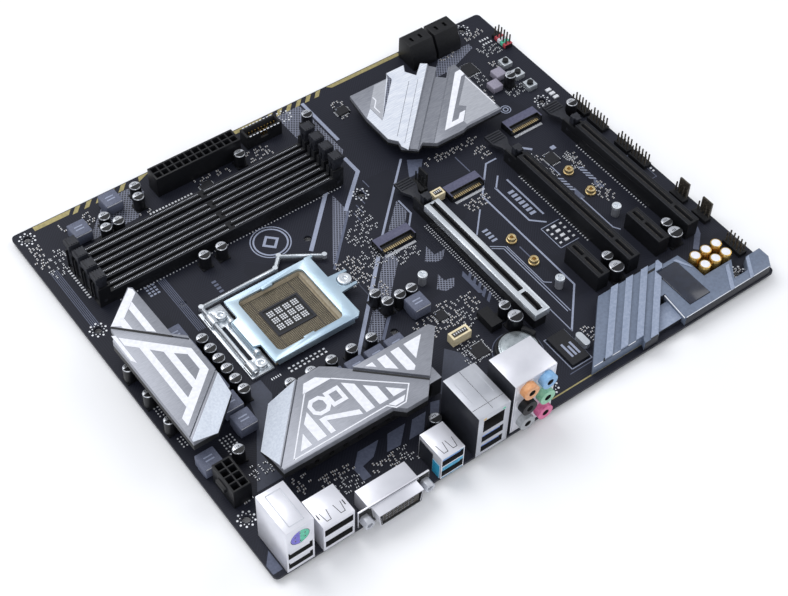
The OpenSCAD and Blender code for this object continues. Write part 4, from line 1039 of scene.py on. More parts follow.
class MOTHERBOARD_OT_storage(bpy.types.Operator):
    """Storage sockets with their contact rows, the standoffs and the spare nuts"""
    bl_idname = "motherboard.storage"
    bl_label = "Storage sockets"

    def execute(self, context):
        soften("storage_sockets", ["black_moulding", "plum_moulding"], width=0.15,
               paint=lambda m, n: "plum_moulding" if n.z > 0.9 and m.z > 4 else None)
        soften("storage_standoffs", ["soft_nickel", "bright_steel", "brass"], width=0.2, segments=2,
               paint=lambda m, n: "bright_steel" if m.z > 5.4 else "brass" if min(
                   (m.x - x) ** 2 + (m.y - y) ** 2 for x, y in SPARES) < 16 else None)
        rows_piece = Piece("storage_contacts", "brass", "gold", "solder")
        for x, y in STORAGE:
            rows_piece.rows([(x, y + 1.2, 1.5)], 15, 1, 1.2, 1, 0.7, 2.0, 0.2, "brass")
            rows_piece.rows([(x, y + 4.6, 2.5)], 15, 1, 1.2, 1, 0.6, 1.6, 0.2, "brass")
            rows_piece.rows([(x, y - 1.6, 0)], 33, 1, 0.58, 1, 0.3, 1.6, 0.12, "solder")
        rows_piece.done()
        return {"FINISHED"}


# ---------------------------------------------------------------- heatsinks

class MOTHERBOARD_OT_side_heatsink(bpy.types.Operator):
    """Side regulator heatsink with its painted frames and stripes, and painted shade on its lower sides and
    along its groove
    """
    bl_idname = "motherboard.side_heatsink"
    bl_label = "Side heatsink"

    def execute(self, context):
        # side walls below the cap and everything lower are painted near-black as painted shade over the finned
        # sides
        def paint(m, n):
            if m.z > 15 and 0.6 < n.z < 0.98 and n.y < -0.2:
                return "pale_bevel"
            return "dark_hollow" if m.z < 18.6 and abs(n.z) < 0.6 or m.z < 15 else None
        soften("side_heatsink", ["brushed_grey", "pale_bevel", "dark_hollow"], width=0.25, segments=2,
               paint=paint, cuts=(18.6,))
        top, high = 21.95, 22.06
        paint_piece = Piece("side_stripes", "white_paint", "dark_hollow")
        stripes = [
            [(5.6, 146.6), (24.4, 162.3), (25.7, 160.6), (25.7, 158), (9.6, 144.2), (7.6, 145.6)],
            [(9.8, 144.4), (13.2, 147.2), (13.2, 139.2), (9.8, 142.4)],
            [(18, 151.2), (21.4, 154.2), (21.4, 131.6), (18, 134.8)],
            [(3, 141.6), (4.7, 140.4), (4.7, 121), (3, 123.6)]]
        # the nested frames: upright bars joined by slanted bands
        bands = [
            [(5.2, 138.8), (5.2, 133), (10.1, 128), (13.5, 124.3), (18.1, 119.4), (21.6, 116), (26.4, 111.8),
             (29.7, 113.8)],
            [(10.1, 128), (10.1, 86.4), (13.5, 90.4), (13.5, 124.3)],
            [(18.1, 119.4), (18.1, 94), (21.6, 97), (21.6, 116)],
            [(26.4, 111.8), (26.4, 101.2), (29.7, 98.6), (29.7, 113.8)],
            [(5.2, 82.2), (5.2, 77), (29.7, 98.6), (26.4, 101.2), (21.6, 97), (18.1, 94), (13.5, 90.4),
             (10.1, 86.4)],
        ]
        for outline in stripes + bands:
            paint_piece.prism(outline, top, high)
        # the groove as a dark line of painted shade
        paint_piece.stroke([(5.4, 146.1), (26, 125)], 1.3, top - 0.2, high + 0.02, "dark_hollow")
        paint_piece.done()
        return {"FINISHED"}


class MOTHERBOARD_OT_rear_heatsink(bpy.types.Operator):
    """Rear regulator heatsink with its painted outline and stripes, and painted shade on its lower sides and
    along its groove
    """
    bl_idname = "motherboard.rear_heatsink"
    bl_label = "Rear heatsink"

    def execute(self, context):
        # side walls below the cap and everything lower are painted near-black as painted shade over the finned
        # sides
        def paint(m, n):
            if m.z > 15 and 0.6 < n.z < 0.98 and n.x < -0.2:
                return "pale_bevel"
            return "dark_hollow" if m.z < 18.8 and abs(n.z) < 0.6 or m.z < 15 else None
        soften("rear_heatsink", ["brushed_grey", "pale_bevel", "dark_hollow"], width=0.25, segments=2,
               paint=paint, cuts=(18.8,))
        top, high = 21.95, 22.06
        lines = Piece("rear_stripes", "white_paint", "dark_hollow")
        lines.stroke([(33.4, 34.2), (84.4, 34.2), (87.4, 30.9), (92.8, 30.9), (100, 38.4), (72.6, 61.6)], 0.6,
                     top, high)
        lines.stroke([(33.4, 34.2), (58, 61.8)], 0.6, top, high)
        for outline in (
                [(60.4, 66.4), (66.8, 66.4), (72.8, 61.6), (56.8, 61.6)],
                [(38.4, 36.2), (44.6, 36.2), (44.6, 43.6)],
                [(47.9, 36.4), (52.7, 36.4), (52.7, 52.4), (47.9, 47.6)],
                [(74.8, 36.6), (79.5, 36.6), (79.5, 52.8), (74.8, 57)],
                [(82.2, 36.6), (87.2, 36.6), (87.2, 45.6), (82.2, 50)],
                [(90, 36.6), (97.2, 36.6), (90, 43)],
                [(85.4, 34.4), (95, 34.4), (92.2, 31.9), (87.6, 31.9)],
                [(89.4, 58.2), (93.5, 58.2), (93.5, 54.8)],
                [(96.4, 58.3), (101.2, 58.3), (101.2, 48), (96.4, 52)],
                [(104, 58.3), (108.8, 58.3), (108.8, 45), (106.8, 43.2), (104, 45.2)],
                [(111.6, 58.3), (122, 58.3), (111.6, 48.2)]):
            lines.prism(outline, top, high)
        # the groove as a dark line of painted shade
        lines.stroke([(83.4, 59.6), (109.4, 34.9)], 1.1, top - 0.2, high + 0.02, "dark_hollow")
        # plain shapes in place of a printed numeral
        eight = [(59.4 + 4.0 * sx, 52 + 4.0 * sy) for sx, sy in
                 ((1, 0.5), (0.5, 1), (-0.5, 1), (-1, 0.5), (-1, -0.5), (-0.5, -1), (0.5, -1), (1, -0.5))]
        lines.stroke(eight, 2.0, top, high, closed=True)
        lines.stroke([(65.4, 48.6), (65.4, 55.8), (71.6, 55.8), (71.6, 48.6)], 2.0, top, high, closed=True)
        lines.prism([(55, 36.4), (57.6, 36.4), (57.6, 43.4), (73, 36.8), (73, 39.8), (58.4, 45.8),
                     (55, 45.8)], top, high)
        lines.done()
        return {"FINISHED"}


class MOTHERBOARD_OT_chipset_heatsink(bpy.types.Operator):
    """Chipset heatsink: polished half, brushed half and painted strips, with painted shade on its lower sides
    """
    bl_idname = "motherboard.chipset_heatsink"
    bl_label = "Chipset heatsink"

    def execute(self, context):
        # side walls below the cut are painted near-black as painted shade
        def paint(m, n):
            return "dark_hollow" if m.z < 8.6 and n.z < 0.6 else None
        soften("chipset_heatsink", ["slant_grey", "dark_hollow"], width=0.25, segments=2, paint=paint,
               cuts=(8.6,))
        top, high = 10.95, 11.06
        strips = Piece("chipset_strips", "polished_white", "white_paint", "pale_grey", "slant_grey",
                       "mesh_marking")
        strips.prism([(193.5, 200.6), (193.5, 181.2), (197, 176.6), (196, 172.4), (197.4, 168.4),
                      (246.6, 216.6),
                      (243.4, 219), (235.8, 212.4), (232.2, 218.6), (234.8, 223.2), (223.4, 223.2),
                      (199.2, 194.2), (199.2, 205.6)], top, high, "polished_white")
        strips.stroke([(198.6, 180), (229.6, 211)], 0.3, top, high + 0.02, "slant_grey")
        strips.stroke([(198.8, 173.6), (234.6, 209.4)], 0.25, top, high + 0.02, "slant_grey")
        strips.prism([(222.2, 168.8), (234.8, 168.8), (241, 175), (237.2, 175), (233.8, 171.8),
                      (229.2, 171.8),
                      (255.6, 197.4), (258.4, 198), (258.6, 202.4), (254.8, 202)], top, high, "white_paint")
        strips.prism([(235, 166), (257, 166), (257, 195.6), (240.4, 180), (243.4, 177), (235, 168.4)], top,
                     high - 0.03, "pale_grey")
        strips.prism([(257.1, 169.6), (257.7, 169.6), (257.7, 196.4), (257.1, 196)], top, high, "white_paint")
        strips.prism([(199.6, 194.6), (201.6, 196.4), (222.8, 217.6), (222.8, 222.4), (220.8, 219)], top,
                     high + 0.02, "mesh_marking")
        strips.stroke([(201.8, 200), (201.8, 205), (205.6, 209), (205.6, 212)], 0.6, top, high, "white_paint")
        strips.prism([(199.6, 206.4), (199.6, 194.8), (221.6, 217.4), (221.6, 219.4), (212, 219.4)], top,
                     high - 0.04, "pale_grey")
        strips.done()
        return {"FINISHED"}


class MOTHERBOARD_OT_hidden_parts(bpy.types.Operator):
    """Thermal pads and the screw heads under the laminate"""
    bl_idname = "motherboard.hidden_parts"
    bl_label = "Pads and screws"

    def execute(self, context):
        repaint("thermal_pads", "pad")
        soften("heatsink_screws", ["dark_plating"], width=0.3, segments=2)
        return {"FINISHED"}


class MOTHERBOARD_OT_audio_shroud(bpy.types.Operator):
    """Cover over the audio corner with its ribs and blank badge, painted shade under its front and painted
    highlights along its front edges
    """
    bl_idname = "motherboard.audio_shroud"
    bl_label = "Audio shroud"

    def execute(self, context):
        # front faces below the cover's sheet are painted charcoal as painted shade beneath it
        soften("audio_shroud", ["slate_moulding", "pale_slate", "charcoal_moulding"], width=0.2, segments=2,
               paint=lambda m, n: "pale_slate" if n.z > 0.9 and (m.z > 7 or m.z < 4)
               else "charcoal_moulding" if n.y < -0.9 and m.z < 5.6 else None)
        soften("shroud_badge", ["badge_gloss"], width=0.3, segments=3)
        trim = Piece("shroud_trim", "pale_slate", "bright_marking", "dark_hollow")
        # bright lines along the cover's front edges: painted highlights
        trim.block((185.6, 4.0, 5.7), (216.6, 4.35, 6.08), "bright_marking")
        trim.stroke([(243.6, 17.4), (241.9, 1.0)], 0.5, 5.7, 6.08, "bright_marking")
        trim.block((242.8, 0.45, 5.7), (300, 0.8, 6.08), "bright_marking")
        # slots and notches in painted shade
        for x, w in ((222, 4), (232.6, 3.4), (245.6, 11)):
            trim.block((x, 32.6, 5.6), (x + w, 33.8, 6.06), "dark_hollow")
        for x in (193.6, 205.4):
            trim.prism([(x - 2.4, 4.0), (x + 2.2, 4.0), (x + 1, 5.2), (x - 1, 5.2)], 5.6, 6.1, "dark_hollow")
        trim.prism([(281.9, 13.9), (284.2, 13.9), (275.6, 0.6), (272.9, 0.6)], 5.7, 6.3, "pale_slate")
        trim.prism([(294, 11.4), (296.8, 12.4), (289, 0.6), (286.6, 0.6)], 5.7, 6.3, "pale_slate")
        trim.prism([(262.4, 31.6), (264.4, 31.6), (267.6, 24.6), (267.6, 22.6)], 5.7, 6.3, "pale_slate")
        trim.done()
        return {"FINISHED"}


# ---------------------------------------------------------------- rear ports

def port(node, low, high, outside, inside="dark_hollow", width=0.2, side=None):
    """A port's shell with bright outer faces and its inner faces in painted shade; side is the finish of its
    left wall.
    """
    def paint(m, n):
        edge = 0.35
        if side and n.x < -0.9 and m.x < low[0] + edge:
            return side
        out = (m.x < low[0] + edge or m.x > high[0] - edge or m.y < low[1] + edge or m.y > high[1] - edge
               or m.z > high[2] - edge or m.z < edge)
        return None if out else inside
    return soften(node, [outside, inside] + ([side] if side else []), width=width, segments=2, paint=paint)


# Middles of the mouths that show a tongue: x, z, finish
MOUTHS = [(13.2, 4.6, "nickel"), (13.2, 12.4, "nickel"), (118.8, 4.6, "blue_tongue"),
          (118.8, 12.2, "blue_tongue"), (96, 4.0, "cyan_moulding"), (96, 12.0, "blue_tongue")]


# Middles of the audio jacks
JACK_X, JACK_Z = (138.2, 148.9), (7, 18.8, 30.6)


class MOTHERBOARD_OT_rear_ports(bpy.types.Operator):
    """Rear ports: shells, tongues, springs, inserts and nuts"""
    bl_idname = "motherboard.rear_ports"
    bl_label = "Rear ports"

    def execute(self, context):
        port("keyboard_port_shell", (6, -0.5), (20.4, 23, 31.5), "nickel")
        port("display_port_shell", (25, -0.8), (41.6, 16.2, 18.6), "nickel")
        # the mouth of the monitor socket is painted near-black as painted shade
        soften("monitor_port", ["nickel", "dark_hollow"], width=0.2, segments=2, paint=lambda m, n: (
            "dark_hollow" if 52.6 < m.x < 74.6 and 2.4 < m.z < 9.8 and m.y < 0.6 else None))
        port("usb_port_shell", (89.4, -0.8), (102.6, 16, 16), "nickel")
        # the network stack's left wall is painted charcoal: painted shade on its metal shell
        port("network_port_shell", (109.6, -0.8), (128, 26, 30), "soft_nickel", side="charcoal_moulding")
        soften("monitor_port_nuts", ["soft_nickel"], width=0.25, segments=2)

        def tongue_paint(m, n):
            if m.z > 18 and m.x < 20:
                return "violet_moulding" if m.x < 13.2 else "green_moulding"
            if 108 < m.x < 130:
                return "blue_tongue"
            if 85 < m.x < 104:
                return "cyan_moulding"
            return "black_moulding"
        soften("port_tongues", ["black_moulding", "violet_moulding", "green_moulding", "blue_tongue",
                                "cyan_moulding"],
               width=0.12, paint=tongue_paint)

        trim = Piece("port_trim", "nickel", "soft_nickel", "dark_hollow", "black_moulding",
                     "charcoal_moulding", "cyan_moulding", "gold",
                     "violet_moulding", "green_moulding", "blue_tongue", "bright_steel", "pin_metal",
                     "slate_marking_and_shade")
        # the round keyboard socket: a rim, two coloured halves and six pin holes; the ring round the halves
        # and the pin holes are painted shade
        back = Matrix.Rotation(math.radians(90), 4, "X")
        face = Matrix.Translation((13.2, -0.3, 23.4)) @ back
        trim.ring((0, 0), 6.0, 5.4, -0.2, 0.3, 32, "nickel", face)
        trim.turned([(5.3, -0.3), (5.3, 0.02)], (0, 0, 0), 32, "dark_hollow", face)
        for first, finish in ((0.5, "violet_moulding"), (-0.5, "green_moulding")):
            half = [(4.7 * math.cos(a), 4.7 * math.sin(a)) for a in
                    (math.pi * (first + k / 12) for k in range(13))]
            trim.prism(half, -0.3, 0.05, finish, face)
        for k in range(6):
            a = math.radians(60 * k + 30)
            trim.turned([(0.5, 0), (0.5, 0.1)], (2.9 * math.cos(a), 2.9 * math.sin(a), 0), 8, "dark_hollow",
                        face)
        # embossed ribs on top of the tall shells
        for x in (9.4, 17):
            trim.block((x - 0.25, 2, 31.3), (x + 0.25, 20.6, 31.62), "soft_nickel")
        for y in (2, 20.4):
            trim.block((9.4, y - 0.25, 31.3), (17, y + 0.25, 31.62), "soft_nickel")
        # seams on top of the network stack, painted near-black as painted shade
        trim.block((118.7, 1, 29.8), (118.95, 25.6, 30.12), "dark_hollow")
        trim.block((109.8, 4.4, 29.8), (127.8, 4.7, 30.1), "dark_hollow")
        for x in (112.6, 125):
            trim.block((x, 8, 29.9), (x + 0.4, 22, 30.1), "soft_nickel")
        # spring slots: pairs of slanted cuts on top of the short shells, painted near-black as painted shade
        for cx, top, y in ((29.6, 18.6, 1.6), (37, 18.6, 1.6), (93.4, 16, 1.4), (98.6, 16, 1.4)):
            for s in (-1, 1):
                trim.stroke([(cx + s * 1.9, y + 5.4), (cx + s * 1.1, y)], 0.4, top - 0.1, top + 0.06,
                            "dark_hollow")
            trim.block((cx - 1.3, y - 0.2, top - 0.1), (cx + 1.3, y + 0.2, top + 0.06), "dark_hollow")
        # two more slots in painted shade
        for x in (26.2, 40):
            trim.block((x - 0.3, 4, 18.5), (x + 0.3, 7, 18.66), "dark_hollow")
        # pins of the monitor socket: holes in painted shade on a pin-metal insert
        for r in range(3):
            for c in range(8):
                trim.block((55.2 + 2.05 * c, -5.4, 3.7 + 1.9 * r), (56.3 + 2.05 * c, -5.1, 4.8 + 1.9 * r),
                           "dark_hollow")
        trim.block((53.6, -5.2, 3.2), (73.6, -4.6, 9.2), "pin_metal")
        trim.block((49.9, -0.15, 10.9), (77.3, 0.3, 11.35), "nickel")
        # cyan moulding round the double port; its upper left wall and its back are painted charcoal as painted
        # shade
        trim.block((89.2, 0.2, 0.2), (89.5, 5.4, 9.6), "cyan_moulding")
        trim.block((89.2, 5.4, 0.2), (89.5, 15.4, 13.4), "charcoal_moulding")
        trim.block((90, 15.9, 0.2), (102, 16.1, 15.4), "charcoal_moulding")
        for z0, z1 in ((0.5, 1.2), (6.9, 9.1), (14.9, 15.4)):
            trim.block((90, -0.86, z0), (102, -0.6, z1), "cyan_moulding")
        # front edges of the tongues
        for x, z, finish in MOUTHS:
            trim.block((x - 5.2, 0.3, z - 0.2), (x + 5.2, 0.9, z + 1.9), finish)
        # contacts of the network jack
        for k in range(8):
            trim.block((115 + 1.02 * k, 2, 25.6), (115.4 + 1.02 * k, 9, 26.2), "gold")
        trim.block((112.4, -0.84, 27), (114.2, -0.7, 28.4), "gold")
        trim.block((123.4, -0.84, 27), (125.2, -0.7, 28.4), "green_moulding")
        # three pressed ridges down the top of the audio block, each outlined in slate as painted shade in its
        # crease
        soften("audio_block", ["nickel", "charcoal_moulding"], width=0.3, segments=2,
               paint=lambda m, n: "charcoal_moulding" if n.x < -0.9 and m.x < 131.2 else None)
        for x in (135, 143.2, 151.4):
            ridge = [(x - 1.2, 3.2), (x - 0.6, 2.4), (x + 0.6, 2.4), (x + 1.2, 3.2), (x + 1.2, 16.6),
                     (x + 0.6, 17.4), (x - 0.6, 17.4), (x - 1.2, 16.6)]
            trim.prism(ridge, 35.8, 35.97, "nickel")
            trim.stroke(ridge, 0.3, 35.8, 35.99, "slate_marking_and_shade", closed=True)
        trim.done(ease=0.06)

        jack_finish = {(0, 2): "orange_jack", (1, 2): "blue_jack", (0, 1): "black_moulding",
                       (1, 1): "green_jack", (0, 0): "grey_jack", (1, 0): "pink_jack"}

        def jack_paint(m, n):
            if m.y > 0.3 and not (abs(n.y) < 0.3 and min((m.x - x) ** 2 + (m.z - z) ** 2
                                                         for x in JACK_X for z in JACK_Z) < 5):
                return "nickel"
            column = 0 if m.x < 143.5 else 1
            row = 0 if m.z < 13 else 1 if m.z < 24.5 else 2
            # the inner walls of each jack's hole are painted near-black as painted shade
            inner = (m.x - JACK_X[column]) ** 2 + (m.z - JACK_Z[row]) ** 2 < 3.6
            return "dark_hollow" if inner and abs(n.y) < 0.5 else jack_finish[(column, row)]
        soften("audio_jacks", ["nickel", "dark_hollow", "orange_jack", "blue_jack", "black_moulding",
                               "green_jack",
                               "grey_jack", "pink_jack"], width=0.5, segments=3, paint=jack_paint)
        return {"FINISHED"}


# ---------------------------------------------------------------- connectors

class MOTHERBOARD_OT_power_sockets(bpy.types.Operator):
    """Main and processor power sockets with a pin in every cell"""
    bl_idname = "motherboard.power_sockets"
    bl_label = "Power sockets"

    def execute(self, context):
        for node in ("main_power_socket", "processor_power_socket"):
            soften(node, ["black_moulding"], width=0.18, segments=2)
        pins = Piece("power_pins", "solder")
        pins.rows([(76.9 + 25.2, 229.1, 2.3)], 12, 2, 4.2, 4.2, 1.1, 1.1, 6.5, "solder")
        pins.rows([(9.8, 49.4, 2.3)], 2, 4, 4.2, 4.2, 1.1, 1.1, 6.5, "solder")
        pins.done()
        return {"FINISHED"}


class MOTHERBOARD_OT_drive_ports(bpy.types.Operator):
    """Stacked drive ports that face the front edge"""
    bl_idname = "motherboard.drive_ports"
    bl_label = "Drive ports"

    def execute(self, context):
        soften("drive_ports", ["black_moulding"], width=0.25, segments=2)
        return {"FINISHED"}


class MOTHERBOARD_OT_headers(bpy.types.Operator):
    """Pin headers, fan headers and small plug sockets"""
    bl_idname = "motherboard.headers"
    bl_label = "Headers"

    def execute(self, context):
        def paint(m, n):
            if 140.9 < m.x < 152.1 and 55.9 < m.y < 61.1 or 191.5 < m.x < 198.5 and 136.9 < m.y < 141.9:
                return "cream_moulding"
            return "pin_metal" if m.x > 295 and m.z > 2.6 else None
        soften("pin_headers", ["black_moulding", "cream_moulding", "pin_metal"], width=0.12, paint=paint)
        extras = Piece("header_trim", "gold", "pin_metal", "bright_marking", "red_moulding", "green_moulding",
                       "solder", "black_moulding", "cream_moulding")
        extras.rows([(144.5, 230.5, 1.5)], 10, 2, 2, 2, 0.5, 0.5, 5.5, "gold")
        extras.rows([(144.5, 234.3, 8.9)], 9, 1, 2.2, 1, 1.3, 0.5, 0.14, "bright_marking")
        extras.rows([(144.5, 226.7, 8.9)], 9, 1, 2.2, 1, 1.3, 0.5, 0.14, "bright_marking")
        for k, finish in enumerate(("red_moulding", "green_moulding", "bright_marking", "red_moulding")):
            extras.block((298.3, 210.1 + 2.54 * k, 0.5), (303.6, 212.4 + 2.54 * k, 2.62), finish)
        extras.rows([(146.5, 61.4, 0), (195, 142.4, 0)], 7, 1, 1.25, 1, 0.4, 1.6, 0.4, "solder")
        extras.block((142.2, 57, 5.3), (150.8, 59.8, 5.56), "pin_metal")
        extras.rows([(146.5, 58.6, 5.5)], 6, 1, 1.3, 1, 0.45, 1.2, 0.3, "solder")
        extras.block((192.6, 138, 4.8), (197.4, 140.8, 5.06), "pin_metal")
        extras.rows([(195, 139.6, 5)], 4, 1, 1.2, 1, 0.45, 1.2, 0.3, "solder")
        extras.done()
        return {"FINISHED"}


# ---------------------------------------------------------------- parts in numbers

CANS = ([(41.8, 88.8 + 7.35 * i, 3.15, 9) for i in range(6)] + [(61.5 + 11.7 * i, 78.9, 3.15,
                                                                 9) for i in range(5)]
        + [(3.7, y, 2.8, 10) for y in (93, 111.7, 130)]
        + [(x, y, 3.15, 9) for x, y in (
            (43.3, 221.8), (40.3, 214.6), (47.7, 215), (66.9, 231.2), (64.5, 223.8), (124.1, 219.9),
            (170.4, 224.3),
            (71, 170), (81, 170), (21.1, 61.7), (104.4, 23.3), (128, 92.7), (135.6, 92.7), (142.8, 92.7),
            (126, 100.1), (173.4, 57.3), (236.2, 52.4), (276.4, 51.9), (280.8, 184.9), (294.4, 148))]
        + [(x, y, 4, 9) for x, y in ((173.4, 48.9), (235.2, 44.3), (275.3, 44.3))])


class MOTHERBOARD_OT_capacitors(bpy.types.Operator):
    """Capacitor cans with black sleeves and half-marked tops, and the gold audio cans"""
    bl_idname = "motherboard.capacitors"
    bl_label = "Capacitors"

    def execute(self, context):
        cans = Piece("capacitor_cans", "can_sleeve", "can_metal", "black_moulding", "gold", "white_paint")
        for radius, height in sorted({(r, h) for x, y, r, h in CANS}):
            spots = [(x, y, 0.9) for x, y, r, h in CANS if (r, h) == (radius, height)]
            cans.rows(spots, 1, 1, 1, 1, radius - 0.03, 1, height - 1.5, "can_sleeve", rounds=True, sides=24)
            feet = [(x, y, 0) for x, y, z in spots]
            cans.rows(feet, 1, 1, 1, 1, radius * 2 - 0.1, radius * 2 - 0.1, 0.8, "black_moulding")
        for x, y, r, h in CANS:
            cans.turned([(r - 0.35, 0.7), (r - 0.35, 1.2)], (x, y, 0), 20, "can_metal")
            cans.turned([(r - 0.15, h - 1.0), (r - 0.05, h - 0.5), (r - 0.35, h - 0.12), (r - 0.7, h - 0.05)],
                        (x, y, 0), 24, "can_metal")
            # the dark half of the top, and three plain grooves
            dark = [((r - 0.35) * math.cos(a), (r - 0.35) * math.sin(a)) for a in
                    (math.radians(178 + 20.5 * k) for k in range(10))]
            cans.prism([(x + a, y + b) for a, b in dark], h - 0.5, h - 0.01, "can_sleeve")
            for k in (-1, 0, 1):
                cans.block((x + k * 0.85 - 0.16, y + 0.5, h - 0.3), (x + k * 0.85 + 0.16, y + 1.7, h - 0.01),
                           "can_sleeve")
        for i in range(3):
            for j in range(2):
                x, y = 273.1 + 7.2 * i, 19.7 + 7.2 * j
                cans.turned([(3.05, 0), (3.05, 6.6), (2.75, 7.1), (3.05, 7.5), (2.9, 7.9), (2.5, 8)],
                            (x, y, 0), 28, "gold")
                cans.turned([(2.35, 7.8), (2.35, 8.04), (2.2, 8.08)], (x, y, 0), 28, "white_paint")
        cans.done(replaces=["capacitors"], smooth=50)
        return {"FINISHED"}


CHOKES = ([(27.8, 70.1 + 12.1 * i) for i in range(6)] + [(65.1 + 11.65 * i, 64.4) for i in range(5)]
          + [(24.3, 217.6), (47.4, 226.7), (2.9, 60.6), (135.4, 79.5)])


class MOTHERBOARD_OT_chokes(bpy.types.Operator):
    """Power chokes pressed from powder, with a painted highlight along each near top edge"""
    bl_idname = "motherboard.chokes"
    bl_label = "Chokes"

    def execute(self, context):
        soften("chokes", ["choke_powder", "pale_choke"], width=0.45, segments=2,
               paint=lambda m, n: "pale_choke" if m.x > 260 and m.y > 180 else None)
        trim = Piece("choke_highlights_and_marks", "solder", "marking")
        for x, y in CHOKES:
            # a bright strip along the near top edge: a painted highlight
            trim.block((x + 0.5, y - 0.02, 7.1), (x + 9.3, y + 0.45, 7.75), "solder")
            for k in range(2):
                trim.block((x + 2.6, y + 3.6 + 2 * k, 7.9), (x + 7.2, y + 4.3 + 2 * k, 8.03), "marking")
        trim.done()
        return {"FINISHED"}


class MOTHERBOARD_OT_chips(bpy.types.Operator):
    """Chips with their legs, and the crystal's can"""
    bl_idname = "motherboard.chips"
    bl_label = "Chips"

    def execute(self, context):
        soften("chips", ["chip_epoxy", "bright_steel"], width=0.12,
               paint=lambda m, n: "bright_steel" if 192 < m.x < 196.4 and 17 < m.y < 27 else None)
        legs = Piece("chip_legs", "solder", "marking")
        for x, y, w, d in ((148, 75, 6, 6), (263, 127, 7, 8), (150, 47, 8, 8), (192, 222, 7, 6),
                           (270, 208, 9, 9), (101, 217, 7, 5)):
            across, along = int(w / 0.9) - 1, int(d / 0.9) - 1
            legs.rows([(x, y - d / 2 - 0.35), (x, y + d / 2 + 0.35)], across, 1, 0.9, 1, 0.4, 0.9, 0.25,
                      "solder")
            legs.rows([(x - w / 2 - 0.35, y), (x + w / 2 + 0.35, y)], 1, along, 1, 0.9, 0.9, 0.4, 0.25,
                      "solder")
            legs.turned([(0.35, 0.9), (0.35, 1.22 if w in (7, 9) and x != 263 else 1.02)],
                        (x - w / 2 + 1, y + d / 2 - 1, 0), 10, "marking")
        for k, length in enumerate((9, 6.4, 8)):
            legs.block((183.4 + 2.2 * k, 17, 1.55), (184.6 + 2.2 * k, 17 + length, 1.63), "marking")
        legs.done()
        return {"FINISHED"}


class MOTHERBOARD_OT_coin_cell(bpy.types.Operator):
    """Coin cell in its holder, with a spring clip"""
    bl_idname = "motherboard.coin_cell"
    bl_label = "Coin cell"

    def execute(self, context):
        soften("cell_holder", ["black_moulding"], width=0.25, segments=2)
        soften("coin_cell", ["cell_steel"], width=0.3, segments=2)
        return {"FINISHED"}


class MOTHERBOARD_OT_switches(bpy.types.Operator):
    """Push switches: bright bases and black round caps"""
    bl_idname = "motherboard.switches"
    bl_label = "Push switches"

    def execute(self, context):
        soften("switch_bases", ["bright_steel"], width=0.2, segments=2)
        for i in (1, 2, 3):
            soften(f"switch_cap_{i}", ["black_moulding"], f"switch_cap_{i}", width=0.2, segments=2)
        return {"FINISHED"}


# ---------------------------------------------------------------- stage

class MOTHERBOARD_OT_stage(bpy.types.Operator):
    """Pale floor, soft lights and the camera"""
    bl_idname = "motherboard.stage"
    bl_label = "Stage"

    def execute(self, context):
        scene = context.scene
        mesh = bpy.data.meshes.new("floor")
        half, low = 4.0, CAD_BOX[0][2] - 0.0005
        mesh.from_pydata([(-half, -half, low), (half, -half, low), (half, half, low), (-half, half, low)], [],
                         [(0, 1, 2, 3)])
        mesh.materials.append(finish_of("floor_paint"))
        floor = bpy.data.objects.new("floor", mesh)
        scene.collection.objects.link(floor)
        world = bpy.data.worlds.new("studio")
        world.use_nodes = True
        world.node_tree.nodes["Background"].inputs["Color"].default_value = (0.93, 0.95, 1.0, 1.0)
        world.node_tree.nodes["Background"].inputs["Strength"].default_value = 0.62
        scene.world = world
        for name, place, target, size, power in (
                ("key", (-0.15, 0.75, 1.15), (0.14, 0.1, 0.0), 0.9, 9.0),
                ("fill", (-0.7, -0.75, 0.8), (0.14, 0.1, 0.0), 0.8, 4.5),
                ("side", (1.0, -0.1, 0.8), (0.14, 0.1, 0.0), 0.7, 2.5)):
            data = bpy.data.lights.new(name, "AREA")
            data.shape, data.size, data.energy = "SQUARE", size, power
            lamp = bpy.data.objects.new(name, data)
            scene.collection.objects.link(lamp)
            lamp.location = place
            lamp.rotation_mode = "QUATERNION"
            lamp.rotation_quaternion = (Vector(target) - Vector(place)).to_track_quat("-Z", "Y")
        scene.view_settings.view_transform = "Standard"
        camera_data = bpy.data.cameras.new("camera")
        camera_data.sensor_width, camera_data.lens = 36.0, 72.2
        camera_data.clip_start, camera_data.clip_end = 0.01, 20.0
        camera = bpy.data.objects.new("camera", camera_data)
        scene.collection.objects.link(camera)
        heading, dip, roll = math.radians(38.0), math.radians(50.3), math.radians(2.0)
        ahead = Vector((math.sin(heading) * math.cos(dip), math.cos(heading) * math.cos(dip), -math.sin(dip)))
        level = Vector((math.cos(heading), -math.sin(heading), 0))
        above = level.cross(ahead)
        right = level * math.cos(roll) + above * math.sin(roll)
        up = right.cross(ahead)
        camera.matrix_world = Matrix.Translation((-0.18005, -0.33162, 0.6076)) @ Matrix(
            (right, up, -ahead)).transposed().to_4x4()
        scene.camera = camera
        return {"FINISHED"}


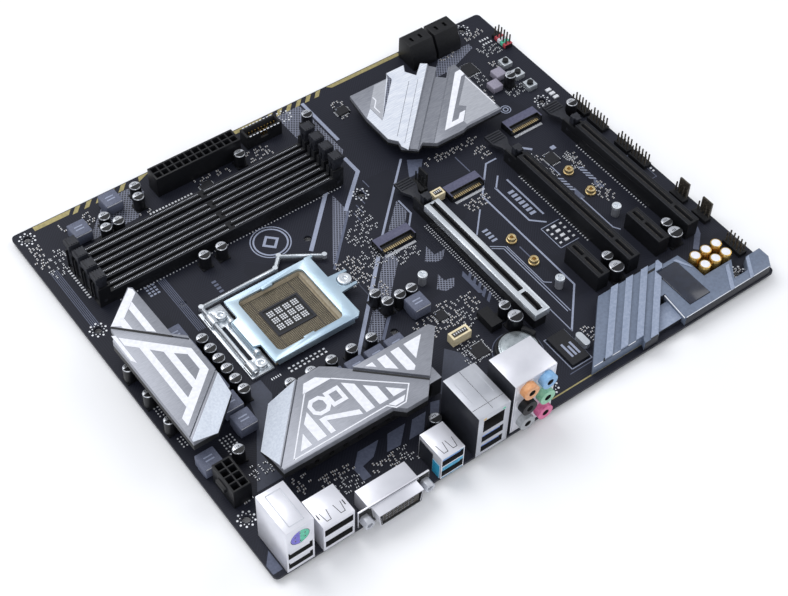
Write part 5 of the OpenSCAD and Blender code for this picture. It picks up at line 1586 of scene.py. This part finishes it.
STEPS = (MOTHERBOARD_OT_stage, MOTHERBOARD_OT_laminate, MOTHERBOARD_OT_small_parts, MOTHERBOARD_OT_socket,
         MOTHERBOARD_OT_memory, MOTHERBOARD_OT_card_slots, MOTHERBOARD_OT_storage,
         MOTHERBOARD_OT_side_heatsink,
         MOTHERBOARD_OT_rear_heatsink, MOTHERBOARD_OT_chipset_heatsink, MOTHERBOARD_OT_hidden_parts,
         MOTHERBOARD_OT_audio_shroud, MOTHERBOARD_OT_rear_ports, MOTHERBOARD_OT_power_sockets,
         MOTHERBOARD_OT_drive_ports, MOTHERBOARD_OT_headers, MOTHERBOARD_OT_capacitors, MOTHERBOARD_OT_chokes,
         MOTHERBOARD_OT_chips, MOTHERBOARD_OT_coin_cell, MOTHERBOARD_OT_switches)


class MOTHERBOARD_PT_pieces(bpy.types.Panel):
    """Lists the colours, the sizes and a button for each piece"""
    bl_idname = "MOTHERBOARD_PT_pieces"
    bl_label = "Motherboard"
    bl_space_type = "VIEW_3D"
    bl_region_type = "UI"
    bl_category = "Motherboard"

    def draw(self, context):
        for group in (context.scene.motherboard_looks, context.scene.motherboard_sizes):
            box = self.layout.box()
            for name in group.__annotations__:
                box.prop(group, name)
        for step in STEPS:
            self.layout.operator(step.bl_idname)


CLASSES = (MotherboardLooks, MotherboardSizes) + STEPS + (MOTHERBOARD_PT_pieces,)


def register():
    """Registers the settings, the operators and the panel."""
    for made in CLASSES:
        bpy.utils.register_class(made)
    bpy.types.Scene.motherboard_looks = bpy.props.PointerProperty(type=MotherboardLooks)
    bpy.types.Scene.motherboard_sizes = bpy.props.PointerProperty(type=MotherboardSizes)


def unregister():
    """Removes what register added."""
    del bpy.types.Scene.motherboard_sizes
    del bpy.types.Scene.motherboard_looks
    for made in reversed(CLASSES):
        bpy.utils.unregister_class(made)


def main():
    """Makes every piece in turn."""
    register()
    for step in STEPS:
        group, name = step.bl_idname.split(".")
        getattr(getattr(bpy.ops, group), name)()


if __name__ == "__main__":
    main()
